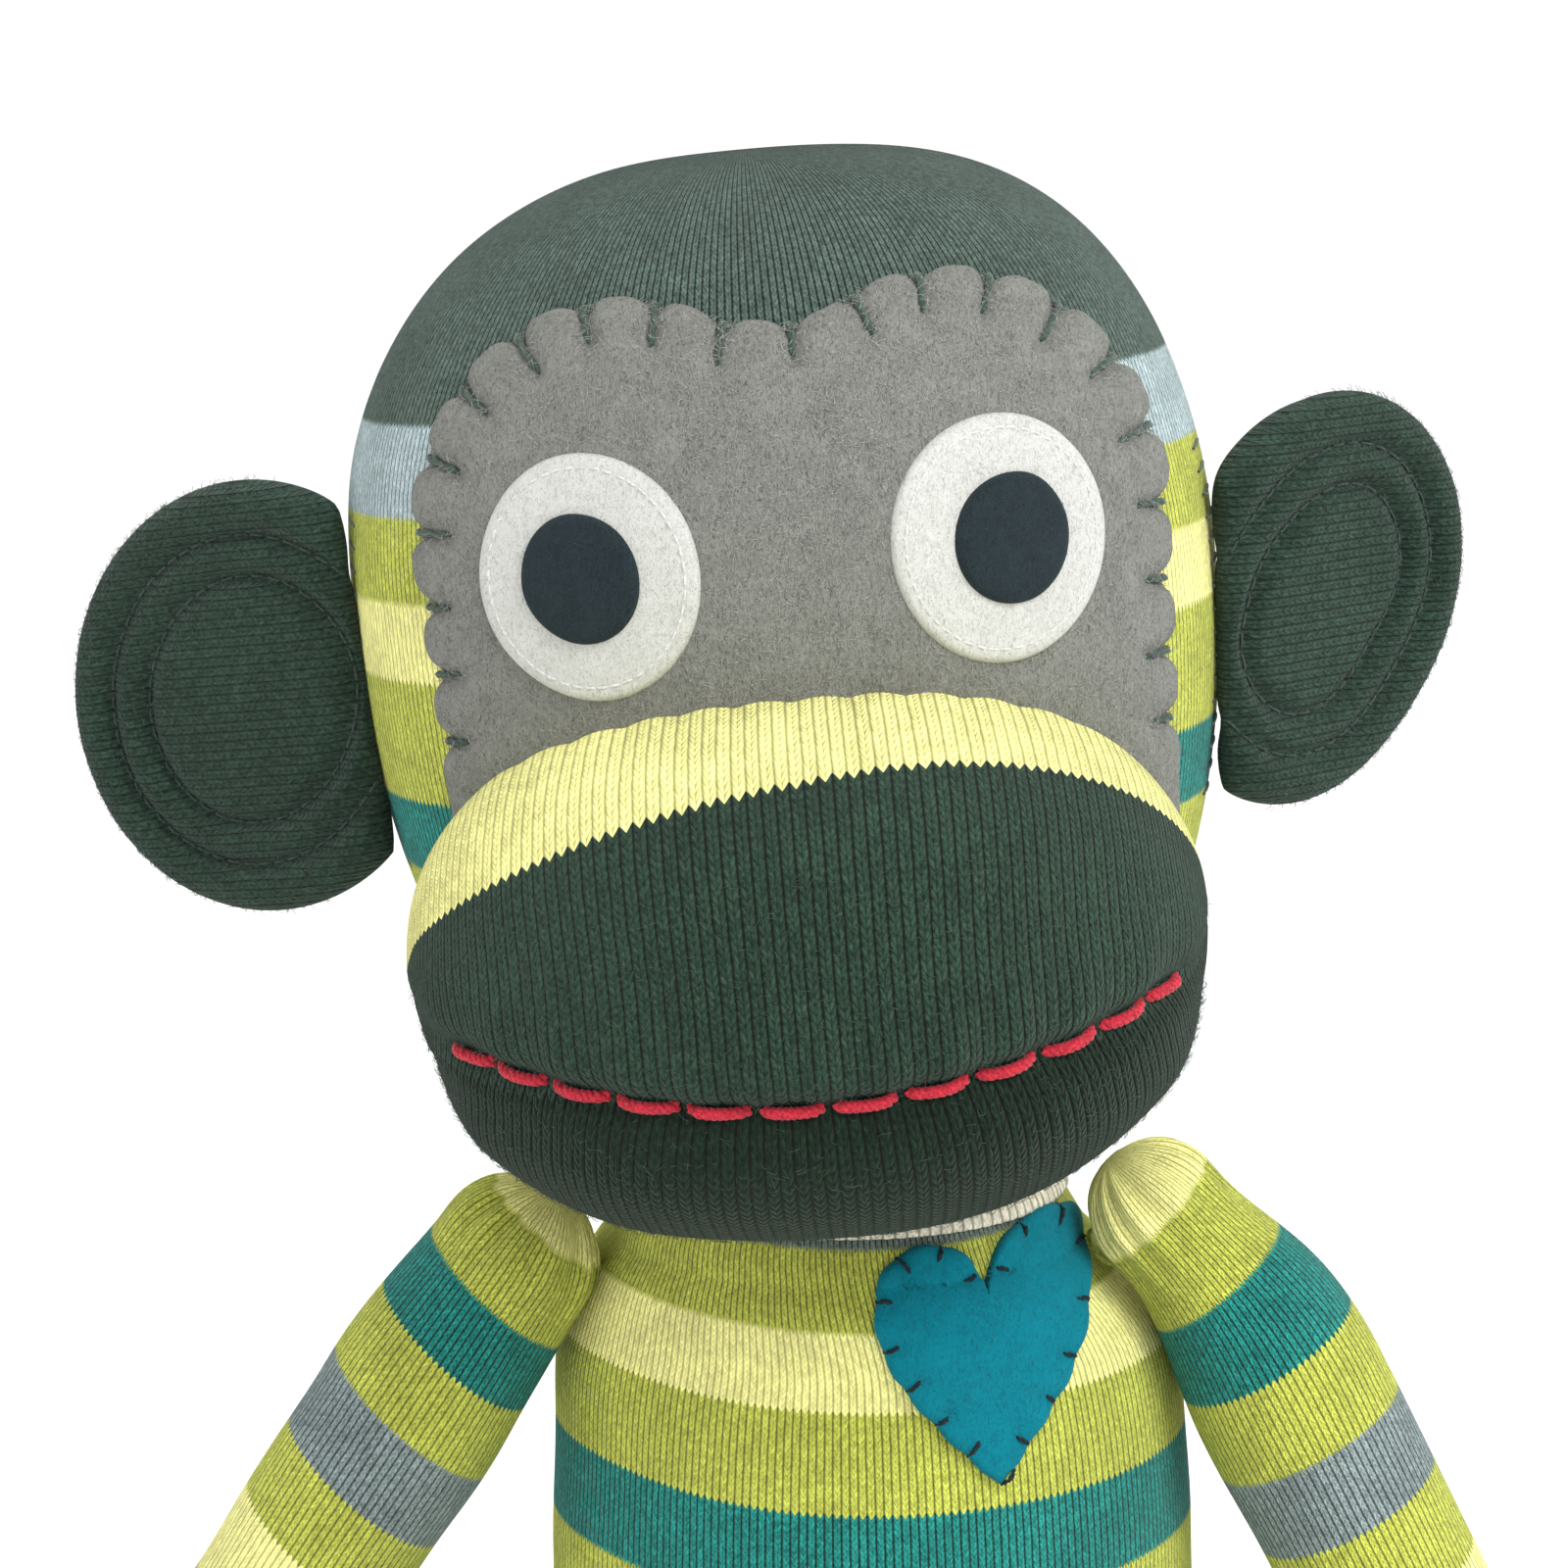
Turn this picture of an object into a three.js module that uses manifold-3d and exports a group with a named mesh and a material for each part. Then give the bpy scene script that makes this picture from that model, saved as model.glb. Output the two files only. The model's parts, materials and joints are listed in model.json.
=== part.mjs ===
// Stuffed sock monkey, sitting with its legs straight out.
// Millimetres. The origin is the middle of the flat seat and +Z is up.
// The monkey faces -Y, so +X is its own left side.

import * as THREE from 'three';
import { mergeVertices } from 'three/addons/utils/BufferGeometryUtils.js';
import Module from 'manifold-3d';

const wasm = await Module();
wasm.setup();

const rad = THREE.MathUtils.degToRad;

// ---- cloth, thread and the gaps between them

const knitWall = 1.2; // sock fabric
const feltWall = 1.3;
const sewGap = 0.4; // between two pieces sewn face to face
const threadFlat = 0.8; // a thread pulled flat on the felt
const threadRound = 1.0; // doubled gathering thread
const yarn = 2.0; // mouth yarn

// ---- body

const body = {
  halfWidth: 47.5, halfDepth: 40, waistHeight: 75, height: 150, bottomHeight: 80,
  power: 3.2, leanX: -2, leanHeight: 132,
};
const neck = { centre: new THREE.Vector3(-5.5, 0, 130), radius: 36, holeRadius: 5, holeDepth: 20 };
const neckBand = { thickness: 2.4, sewGap: 0.5, checkEvery: rad(15), step: rad(0.25) };
const neckSeam = { gatherAngle: rad(11), ladderAngle: rad(38), diameter: 0.8, ladderGap: 0.6 };
const neckPlay = 1.2; // head sock over the neck dome
const neckHollowPlay = 2.4; // head filling over the neck dome

// ---- head

const head = {
  centre: new THREE.Vector3(-13.8, 0, 234), roll: rad(5.3), halfWidth: 61.5, halfDepth: 54,
  crown: 62.3, crownPower: 2.6, chin: 92, chinPower: 2.1,
};
const muzzle = {
  centre: new THREE.Vector3(-1, -45, -43.5), halfWidth: 54, halfDepth: 49, halfHeight: 36, power: 2.3,
};
const mouth = { left: -49, right: 48.5, cornerHeight: -44.5, dip: 9, curvePower: 1.7 };
const mask = {
  lobeX: 22, centreX: 2, lobeZ: 13.3, lobeHalfWidth: 31, lobeHalfHeight: 32.5,
  dipHalfAngle: rad(62), dipZ: 38.5, sideAngle: rad(10), sideHollow: 1, footX: 46, footZ: -45,
};
const maskStitch = { count: 21, length: 6, width: 1.1, firstZ: -13, lastZ: -19 };
const eye = { spread: 26.9, centreX: 1.9, height: 10, radius: 16, stitchInset: 1.6, pupilRadius: 8.4 };
const pupilShift = { left: 1.2, right: -0.6 };
const ear = {
  reach: 14, thickness: 9.6, height: -7.4, forward: 11, power: 2.6, rootLean: rad(3),
  stitchInset: [7, 13], hingeGap: 3.7, seamThread: 0.6, seamShare: 0.9,
};
const earCut = { // each was cut by eye; the skew makes the upper or lower outer part fuller
  left: { radius: 29, skew: 2.8, turn: rad(39) },
  right: { radius: 31.5, skew: -1.2, turn: rad(27) },
};

// ---- heart on the chest

const heart = { x: 14.5, z: 127, width: 30, height: 32, roll: rad(5), stitches: 16, stitchLength: 3.2 };

// ---- limbs: each hangs on a round root that turns just clear of the body

const rootHole = { radius: 3, depth: 6 };
const rootClearance = 0.4 + threadRound + 0.4;
const arm = { handRadius: 12.5, length: 138, play: 0.3 };
const armSewing = { // the two arms are sewn on by hand and differ
  left: {
    radius: 15.2, rootRadius: 9.8, fullBy: 0.25, originHeight: 116.4, forward: rad(20), lift: rad(35),
    startAngle: rad(44), bendLength: 36, hang: rad(26.9),
  },
  right: {
    radius: 14.5, rootRadius: 12.3, fullBy: 0.2, originHeight: 118, forward: rad(14), lift: rad(21),
    startAngle: rad(34.4), bendLength: 27, hang: rad(33),
  },
};
const leg = {
  radius: 17.5, footRadius: 17, rootRadius: 15, length: 178, fullBy: 0.12, spread: 24, splay: rad(9),
};
const tail = { radius: 9, tipRadius: 8, rootHeight: 14, length: 150, curl: rad(100), dropShare: 0.125 };

// ---- colours and finishes

const cloth = (color) => new THREE.MeshStandardMaterial({ color, roughness: 0.95, metalness: 0 });
const darkGreen = '#2b4234';
const lime = '#b9c251';
const tealFelt = '#02798a';
const greyFelt = '#8c8d87';
const whiteFelt = '#e9e9e4';
const inkFelt = '#222d31';
const cream = '#cfcab6';
const redYarn = '#c81e32';
const filling = '#f2f0ea';
const darkThread = '#33473c';

// ---- from three.js geometry to a solid and back

function toSolid(geometry, matrix) {
  const plain = geometry.index ? geometry.toNonIndexed() : geometry.clone();
  plain.deleteAttribute('normal');
  plain.deleteAttribute('uv');
  if (matrix) plain.applyMatrix4(matrix);
  const merged = mergeVertices(plain, 1e-4);
  return new wasm.Manifold(new wasm.Mesh({
    numProp: 3,
    vertProperties: new Float32Array(merged.attributes.position.array),
    triVerts: new Uint32Array(withoutSlivers(merged.index.array)),
  }));
}

// poles and seams of a turned shape leave triangles with two equal corners
function withoutSlivers(index) {
  const kept = [];
  for (let i = 0; i < index.length; i += 3) {
    const [a, b, c] = [index[i], index[i + 1], index[i + 2]];
    if (a !== b && b !== c && c !== a) kept.push(a, b, c);
  }
  return kept;
}

function toGeometry(solid) {
  const mesh = solid.getMesh();
  const geometry = new THREE.BufferGeometry();
  geometry.setAttribute('position', new THREE.BufferAttribute(new Float32Array(mesh.vertProperties), 3));
  geometry.setIndex(new THREE.BufferAttribute(new Uint32Array(mesh.triVerts), 1));
  return geometry;
}

function moveVertices(geometry, move) {
  const position = geometry.attributes.position;
  const point = new THREE.Vector3();
  for (let i = 0; i < position.count; i += 1) {
    point.fromBufferAttribute(position, i);
    move(point);
    position.setXYZ(i, point.x, point.y, point.z);
  }
  return geometry;
}

function cut(solid, ...tools) {
  return tools.reduce((left, tool) => left.subtract(tool), solid);
}

// ---- shapes turned about a vertical axis

const aroundSteps = 22;

function turned(profile, steps = aroundSteps) {
  const points = profile.map(([radius, height]) => new THREE.Vector2(radius, height));
  return new THREE.LatheGeometry(points, steps).rotateX(Math.PI / 2);
}

// radius of a rounded form at a height, for a superellipse of this power
function roundedRadius(halfWidth, height, reach, power) {
  const share = Math.min(1, Math.abs(height) / reach);
  return halfWidth * (1 - share ** power) ** (1 / power);
}

function ball(radius, centre) {
  return toSolid(new THREE.SphereGeometry(radius, aroundSteps, 12).translate(centre.x, centre.y, centre.z));
}

// ---- the body's form, grown outwards or inwards by a distance

function bodyLean(height) {
  return body.leanX * (Math.max(0, height) / body.leanHeight) ** 2;
}

function bodyRadius(height, grow) {
  const above = height - body.waistHeight;
  const reach = above > 0 ? body.height - body.waistHeight : body.bottomHeight;
  return roundedRadius(body.halfWidth + grow, above, reach + grow, body.power);
}

function bodySolid(grow, floor = Math.min(0, -grow)) {
  const top = body.height + grow;
  const profile = [[0, floor], [bodyRadius(floor, grow), floor]];
  const rows = 9;
  for (let i = 1; i < rows; i += 1) {
    const height = floor + (top - floor) * Math.sin((i / rows) * Math.PI / 2) ** 1.15;
    profile.push([bodyRadius(height, grow), height]);
  }
  profile.push([0, top]);
  const depth = (body.halfDepth + grow) / (body.halfWidth + grow);
  const shell = moveVertices(turned(profile), (point) => {
    point.x += bodyLean(point.z);
    point.y *= depth;
  });
  return toSolid(shell).add(ball(neck.radius + grow, neck.centre));
}

const skinGrid = { height: 2, turn: rad(4), step: 0.25 };

function bodyPoints() {
  const points = [];
  for (let height = 1; height < body.height; height += skinGrid.height) {
    const radius = bodyRadius(height, 0);
    for (let turn = 0; turn < 2 * Math.PI; turn += skinGrid.turn) {
      points.push(new THREE.Vector3(
        bodyLean(height) + radius * Math.cos(turn),
        radius * Math.sin(turn) * body.halfDepth / body.halfWidth,
        height,
      ));
    }
  }
  return points;
}

// first point along a ray that stays this far from the body's skin
function standOff(origin, direction, clearance) {
  const skin = bodyPoints();
  const centre = origin.clone();
  const gap = () => Math.min(
    centre.distanceTo(neck.centre) - neck.radius,
    ...skin.map((point) => point.distanceTo(centre)),
  );
  centre.addScaledVector(direction, body.halfWidth / 2);
  while (gap() < clearance || isInsideBody(centre)) centre.addScaledVector(direction, skinGrid.step);
  return centre;
}

// does a limb keep this far from the body all along?
function clearsBody(curve, size, play) {
  const checks = 40;
  const skin = bodyPoints();
  for (let i = 0; i <= checks; i += 1) {
    const point = curve.getPointAt(i / checks);
    const room = limbRadius(size, i / checks) + play;
    if (isInsideBody(point) || skin.some((near) => near.distanceTo(point) < room)) return false;
  }
  return true;
}

function isInsideBody(point) {
  if (point.z <= 0 || point.z >= body.height) return false;
  const radius = bodyRadius(point.z, 0);
  const across = (point.x - bodyLean(point.z)) / radius;
  const along = point.y / (radius * body.halfDepth / body.halfWidth);
  return Math.hypot(across, along) < 1;
}

// nearest place on the body's skin, seen from a limb's root
function towardsBody(centre) {
  const nearest = bodyPoints().reduce((best, point) => (
    point.distanceTo(centre) < best.distanceTo(centre) ? point : best));
  return nearest.sub(centre).normalize();
}

// ---- the head's form, in the head's own frame

function headRadius(height, grow = 0) {
  const [reach, power] = height > 0 ? [head.crown, head.crownPower] : [head.chin, head.chinPower];
  return roundedRadius(head.halfWidth + grow, height, reach + grow, power);
}

function headSolid(grow) {
  const rows = 12;
  const top = head.crown + grow;
  const bottom = -head.chin - grow;
  const profile = [[0, bottom]];
  for (let i = 1; i < rows; i += 1) {
    const swing = -Math.cos((i / rows) * Math.PI);
    const height = swing > 0 ? swing * top : -swing * bottom;
    profile.push([headRadius(height, grow), height]);
  }
  profile.push([0, top]);
  return toSolid(turned(profile).scale(1, (head.halfDepth + grow) / (head.halfWidth + grow), 1));
}

function muzzleSolid(grow) {
  const half = [muzzle.halfWidth + grow, muzzle.halfDepth + grow, muzzle.halfHeight + grow];
  const round = new THREE.SphereGeometry(1, 20, 10).rotateX(Math.PI / 2);
  moveVertices(round, (point) => {
    const sum = point.toArray().reduce((total, side) => total + Math.abs(side) ** muzzle.power, 0);
    point.multiplyScalar(sum ** (-1 / muzzle.power));
    point.set(point.x * half[0], point.y * half[1], point.z * half[2]).add(muzzle.centre);
  });
  return toSolid(round);
}

function muzzleFront(x, z, grow) {
  const across = Math.abs((x - muzzle.centre.x) / (muzzle.halfWidth + grow)) ** muzzle.power;
  const up = Math.abs((z - muzzle.centre.z) / (muzzle.halfHeight + grow)) ** muzzle.power;
  return muzzle.centre.y - (muzzle.halfDepth + grow) * Math.max(0, 1 - across - up) ** (1 / muzzle.power);
}

const headMatrix = new THREE.Matrix4().makeRotationY(-head.roll).setPosition(head.centre);
const neckInHead = neck.centre.clone().applyMatrix4(headMatrix.clone().invert());

// ---- flat pieces: a prism of the outline, kept where it lies on the form

const prismDepth = 90;
const roundSegments = 6; // of each quarter of a small round piece

function prism(shape, curveSegments = 7) {
  const geometry = new THREE.ExtrudeGeometry(shape, { depth: prismDepth, bevelEnabled: false, curveSegments });
  return toSolid(geometry.rotateX(Math.PI / 2)); // the outline's up becomes +Z, and it reaches towards -Y
}

function layer(form, bottom, thickness) {
  return form(bottom + thickness).subtract(form(bottom));
}

// strip along an open line of points, with its inner edge on one side of it
function strip(points, outset, inset) {
  const edge = (offset) => points.map((point, i) => {
    const before = points[Math.max(0, i - 1)];
    const after = points[Math.min(points.length - 1, i + 1)];
    const along = after.clone().sub(before).normalize();
    return new THREE.Vector2(point.x + along.y * offset, point.y - along.x * offset);
  });
  return new THREE.Shape([...edge(-outset), ...edge(inset).reverse()]);
}

// stitches across the edge of a felt piece, joined by the thread that runs along it
function edgeStitches(points, count, length, width, closed) {
  const line = closed ? [...points, points[0]] : points;
  const path = new THREE.CatmullRomCurve3(line.map((point) => new THREE.Vector3(point.x, point.y, 0)));
  const [runInset, runWidth, overhang] = [0.3, 0.8, 0.2];
  let solid = prism(strip(line, -runInset, runInset + runWidth));
  for (let i = 0; i < count; i += 1) {
    const share = closed ? i / count : i / (count - 1);
    const at = path.getPointAt(share);
    const along = path.getTangentAt(share);
    const inward = new THREE.Vector2(along.y, -along.x);
    const corner = (run, across) => new THREE.Vector2(
      at.x + inward.x * run + along.x * across,
      at.y + inward.y * run + along.y * across,
    );
    const half = width / 2;
    const stitch = new THREE.Shape([corner(-overhang, -half), corner(-overhang, half), corner(length, half), corner(length, -half)]);
    solid = solid.add(prism(stitch));
  }
  return solid;
}

// a length of thread or yarn along a curve
function thread(points, diameter, steps, sides = 6) {
  const section = new THREE.Shape();
  for (let i = 0; i < sides; i += 1) {
    const turn = (i / sides) * 2 * Math.PI;
    const corner = [Math.cos(turn) * diameter / 2, Math.sin(turn) * diameter / 2];
    if (i) section.lineTo(...corner);
    else section.moveTo(...corner);
  }
  const extrudePath = new THREE.CatmullRomCurve3(points);
  return new THREE.ExtrudeGeometry(section, { steps, extrudePath, bevelEnabled: false });
}

// ---- the assembly

const monkey = new THREE.Group();
const headGroup = new THREE.Group();
headGroup.position.copy(head.centre);
headGroup.rotation.y = -head.roll;
monkey.add(headGroup);

function addPiece(parent, name, geometry, color) {
  const mesh = new THREE.Mesh(geometry, cloth(color));
  mesh.name = name;
  parent.add(mesh);
  return mesh;
}

function addSolid(parent, name, solid, color) {
  return addPiece(parent, name, toGeometry(solid), color);
}

// ---- body sock, filling and heart

const neckHole = toSolid(new THREE.CylinderGeometry(neck.holeRadius, neck.holeRadius, neck.holeDepth, 16)
  .rotateX(Math.PI / 2)
  .translate(neck.centre.x, neck.centre.y, neck.centre.z + neck.radius));
addSolid(monkey, 'body_sock', cut(bodySolid(0), bodySolid(-knitWall, knitWall), neckHole), lime);
const fillingInset = knitWall + sewGap;
addSolid(monkey, 'body_filling', bodySolid(-fillingInset, fillingInset), filling);

function heartShape() {
  const shape = new THREE.Shape();
  const [w, h] = [heart.width / 2, heart.height];
  shape.moveTo(0, -0.5 * h);
  shape.bezierCurveTo(-0.55 * w, -0.24 * h, -w, 0.04 * h, -w, 0.24 * h);
  shape.bezierCurveTo(-w, 0.46 * h, -0.74 * w, 0.5 * h, -0.52 * w, 0.5 * h);
  shape.bezierCurveTo(-0.26 * w, 0.5 * h, -0.06 * w, 0.42 * h, 0, 0.27 * h);
  shape.bezierCurveTo(0.06 * w, 0.42 * h, 0.26 * w, 0.5 * h, 0.52 * w, 0.5 * h);
  shape.bezierCurveTo(0.74 * w, 0.5 * h, w, 0.46 * h, w, 0.24 * h);
  shape.bezierCurveTo(w, 0.04 * h, 0.55 * w, -0.24 * h, 0, -0.5 * h);
  return shape;
}

function placedHeartPoints() {
  const spin = (point) => point.rotateAround(new THREE.Vector2(), heart.roll);
  const points = heartShape().getSpacedPoints(24).slice(0, -1);
  return points.map((point) => spin(point).add(new THREE.Vector2(heart.x, heart.z)));
}

const heartPoints = placedHeartPoints();
const heartLayer = layer(bodySolid, sewGap, feltWall);
addSolid(monkey, 'heart_patch', prism(new THREE.Shape(heartPoints)).intersect(heartLayer), tealFelt);
const heartThreadLayer = layer(bodySolid, 2 * sewGap + feltWall, threadFlat);
const heartStitches = edgeStitches(heartPoints, heart.stitches, heart.stitchLength, threadFlat, true);
addSolid(monkey, 'heart_thread', heartStitches.intersect(heartThreadLayer), darkThread);

// ---- neck: the head turns, nods and tilts on the body's rounded top

function neckRing(angle, diameter, clearance) {
  const reach = neck.radius + clearance + diameter / 2;
  return new THREE.TorusGeometry(reach * Math.sin(angle), diameter / 2, 5, 24)
    .translate(neck.centre.x, neck.centre.y, neck.centre.z + reach * Math.cos(angle));
}

addPiece(monkey, 'neck_gather_thread', neckRing(neckSeam.gatherAngle, neckSeam.diameter, sewGap), cream);
addPiece(monkey, 'neck_seam_thread', neckRing(neckSeam.ladderAngle, neckSeam.diameter, neckSeam.ladderGap), lime);

// the band lies on the neck dome, or on the shoulders where they reach further out
function bandPlace(angle) {
  const reach = neck.radius + neckBand.sewGap + neckBand.thickness / 2;
  const height = neck.centre.z + reach * Math.cos(angle);
  const shoulder = bodyRadius(height - neckBand.thickness / 2, neckBand.sewGap)
    + Math.abs(bodyLean(height) - neck.centre.x) + neckBand.thickness / 2;
  return { height, radius: Math.max(reach * Math.sin(angle), shoulder) };
}

// does the band come too near the head sock when it lies at this angle?
function bandMeetsHead(angle) {
  const { height, radius } = bandPlace(angle);
  const room = neckBand.thickness / 2 + neckBand.sewGap;
  for (let turn = 0; turn < 2 * Math.PI; turn += neckBand.checkEvery) {
    const point = new THREE.Vector3(
      neck.centre.x + radius * Math.cos(turn),
      neck.centre.y + radius * Math.sin(turn),
      height,
    );
    headGroup.worldToLocal(point);
    const depth = (head.halfDepth + room) / (head.halfWidth + room);
    if (Math.hypot(point.x, point.y / depth) < headRadius(point.z, room)) return true;
  }
  return false;
}

let bandAngle = neckSeam.ladderAngle;
while (bandMeetsHead(bandAngle)) bandAngle += neckBand.step;
const band = bandPlace(bandAngle);
addPiece(monkey, 'neck_band', new THREE.TorusGeometry(band.radius, neckBand.thickness / 2, 5, 24)
  .translate(neck.centre.x, neck.centre.y, band.height), cream);

// ---- head sock and filling

const neckClear = ball(neck.radius + neckPlay, neckInHead);
addSolid(headGroup, 'head_sock', cut(headSolid(0), headSolid(-knitWall), neckClear), darkGreen);
const neckHollow = ball(neck.radius + neckHollowPlay, neckInHead);
addSolid(headGroup, 'head_filling', cut(headSolid(-fillingInset), neckHollow), filling);

// ---- muzzle, its seam and the mouth

const headClear = headSolid(sewGap);
addSolid(headGroup, 'muzzle_sock', cut(muzzleSolid(0), muzzleSolid(-knitWall), headClear), darkGreen);
addSolid(headGroup, 'muzzle_filling', cut(muzzleSolid(-fillingInset), headClear), filling);
const seamLift = 2 * sewGap + feltWall; // the seam thread passes over the felt mask
const muzzleSeam = layer(muzzleSolid, sewGap, threadFlat).intersect(layer(headSolid, seamLift, threadFlat));
addSolid(headGroup, 'muzzle_seam_thread', muzzleSeam, darkGreen);

function mouthPoints(count) {
  const lift = sewGap + yarn / 2;
  const middle = (mouth.left + mouth.right) / 2;
  const half = (mouth.right - mouth.left) / 2;
  const points = [];
  for (let i = 0; i <= count; i += 1) {
    const x = THREE.MathUtils.lerp(mouth.left, mouth.right, i / count);
    const share = Math.abs((x - middle) / half) ** mouth.curvePower;
    const z = mouth.cornerHeight - mouth.dip * (1 - share);
    points.push(new THREE.Vector3(x, muzzleFront(x, z, lift), z));
  }
  return points;
}

addPiece(headGroup, 'mouth_yarn', thread(mouthPoints(16), yarn, 22), redYarn);

// ---- felt mask and its stitches

function maskShape() {
  const shape = new THREE.Shape();
  const [rx, rz] = [mask.lobeHalfWidth, mask.lobeHalfHeight];
  const [leftX, rightX] = [mask.centreX - mask.lobeX, mask.centreX + mask.lobeX];
  const side = Math.PI + mask.sideAngle;
  const [sideX, sideZ] = [rx * Math.cos(mask.sideAngle), mask.lobeZ - rz * Math.sin(mask.sideAngle)];
  shape.moveTo(mask.centreX - mask.footX, mask.footZ);
  shape.quadraticCurveTo(leftX - sideX + mask.sideHollow, (sideZ + mask.footZ) / 2, leftX - sideX, sideZ);
  shape.absellipse(leftX, mask.lobeZ, rx, rz, side, mask.dipHalfAngle, true);
  const dipTop = mask.lobeZ + rz * Math.sin(mask.dipHalfAngle);
  shape.quadraticCurveTo(mask.centreX, mask.dipZ, rightX - rx * Math.cos(mask.dipHalfAngle), dipTop);
  shape.absellipse(rightX, mask.lobeZ, rx, rz, Math.PI - mask.dipHalfAngle, -mask.sideAngle, true);
  shape.quadraticCurveTo(rightX + sideX - mask.sideHollow, (sideZ + mask.footZ) / 2, mask.centreX + mask.footX, mask.footZ);
  return shape;
}

const maskLayer = layer(headSolid, sewGap, feltWall);
const muzzleClear = muzzleSolid(sewGap);
const maskOutline = maskShape();
addSolid(headGroup, 'face_mask', cut(prism(maskOutline).intersect(maskLayer), muzzleClear), greyFelt);

function maskEdge() {
  const points = maskOutline.getSpacedPoints(60);
  const first = points.findIndex((point) => point.y > maskStitch.firstZ);
  const last = points.findLastIndex((point) => point.x > 0 && point.y > maskStitch.lastZ);
  return points.slice(first, last + 1).filter((_, i) => i % 2 === 0);
}

const maskThreadLayer = layer(headSolid, seamLift, threadFlat);
const maskStitches = edgeStitches(maskEdge(), maskStitch.count, maskStitch.length, maskStitch.width, false);
const seamClear = muzzleSolid(2 * sewGap + threadFlat);
addSolid(headGroup, 'mask_thread', cut(maskStitches.intersect(maskThreadLayer), seamClear), darkThread);

// ---- eyes: white disc, pupil and topstitching on each side

function discShape(x, z, radius, holeRadius = 0, narrowing = 1) {
  const ellipse = (path, reach) => path.absellipse(x, z, reach * narrowing, reach, 0, 2 * Math.PI);
  const shape = ellipse(new THREE.Shape(), radius);
  if (holeRadius) shape.holes.push(ellipse(new THREE.Path(), holeRadius));
  return shape;
}

// a disc laid on the curved face is narrower seen from straight in front
function faceNarrowing(x, z) {
  const share = x / headRadius(z);
  const slope = (head.halfDepth / head.halfWidth) * (share / Math.sqrt(1 - share ** 2));
  return Math.cos(Math.atan(slope));
}

function addEye(side, sign) {
  const x = eye.centreX + sign * eye.spread;
  const whiteBottom = 2 * sewGap + feltWall;
  const topBottom = whiteBottom + feltWall + sewGap;
  const narrowing = faceNarrowing(x, eye.height);
  const disc = (shift, radius, hole) => prism(discShape(x + shift, eye.height, radius, hole, narrowing), roundSegments);
  const white = disc(0, eye.radius);
  addSolid(headGroup, `${side}_eye_white`, white.intersect(layer(headSolid, whiteBottom, feltWall)), whiteFelt);
  const pupil = disc(pupilShift[side], eye.pupilRadius);
  addSolid(headGroup, `${side}_pupil`, pupil.intersect(layer(headSolid, topBottom, feltWall)), inkFelt);
  const ringOuter = eye.radius - eye.stitchInset;
  const ring = disc(0, ringOuter, ringOuter - threadFlat);
  addSolid(headGroup, `${side}_eye_stitch`, ring.intersect(layer(headSolid, topBottom, threadFlat)), whiteFelt);
}

addEye('left', 1);
addEye('right', -1);

// ---- ears: front, back, wadding and two rows of topstitching, hinged on the seam with the head

const earRootHem = 2; // the stitching stops this short of the hinge
const earRimStep = rad(12);

function earRim({ radius, skew }, turn) {
  return radius + skew * Math.sin(2 * turn);
}

function earOutline(cutout, turn, grow) {
  const flat = Math.cos(turn) < 0 ? (ear.reach + grow) / -Math.cos(turn) : Infinity;
  return Math.min(earRim(cutout, turn) + grow, flat);
}

function earSolid(cutout, grow) {
  const half = ear.thickness / 2 + grow;
  const lens = new THREE.SphereGeometry(1, 18, 6);
  return toSolid(moveVertices(lens, (point) => {
    const share = Math.min(1, Math.hypot(point.x, point.z));
    const turn = Math.atan2(point.z, point.x);
    const reach = earOutline(cutout, turn, grow) * share;
    const rise = (1 - share ** ear.power) ** (1 / ear.power);
    point.set(ear.reach + reach * Math.cos(turn), Math.sign(point.y) * rise * half, reach * Math.sin(turn));
  }));
}

function halfSpace(sign) {
  const size = 4 * head.halfWidth;
  return toSolid(new THREE.BoxGeometry(size, size, size).translate(0, sign * (size / 2 + sewGap / 2), 0));
}

function earRimPath(cutout, inset, clockwise) {
  const points = [];
  for (let turn = 0; turn < 2 * Math.PI; turn += earRimStep) {
    const reach = earRim(cutout, turn) - inset;
    points.push(new THREE.Vector2(ear.reach + reach * Math.cos(turn), reach * Math.sin(turn)));
  }
  return clockwise ? points.reverse() : points;
}

function earRing(cutout, inset) {
  const shape = new THREE.Shape(earRimPath(cutout, inset, false));
  shape.holes.push(new THREE.Path(earRimPath(cutout, inset + threadFlat, true)));
  const ring = prism(shape, roundSegments).add(prism(shape, roundSegments).mirror([0, 1, 0]));
  const size = 4 * cutout.radius;
  const root = toSolid(new THREE.BoxGeometry(size, size, size).translate(earRootHem - size / 2, 0, 0));
  return cut(ring, root);
}

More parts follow.
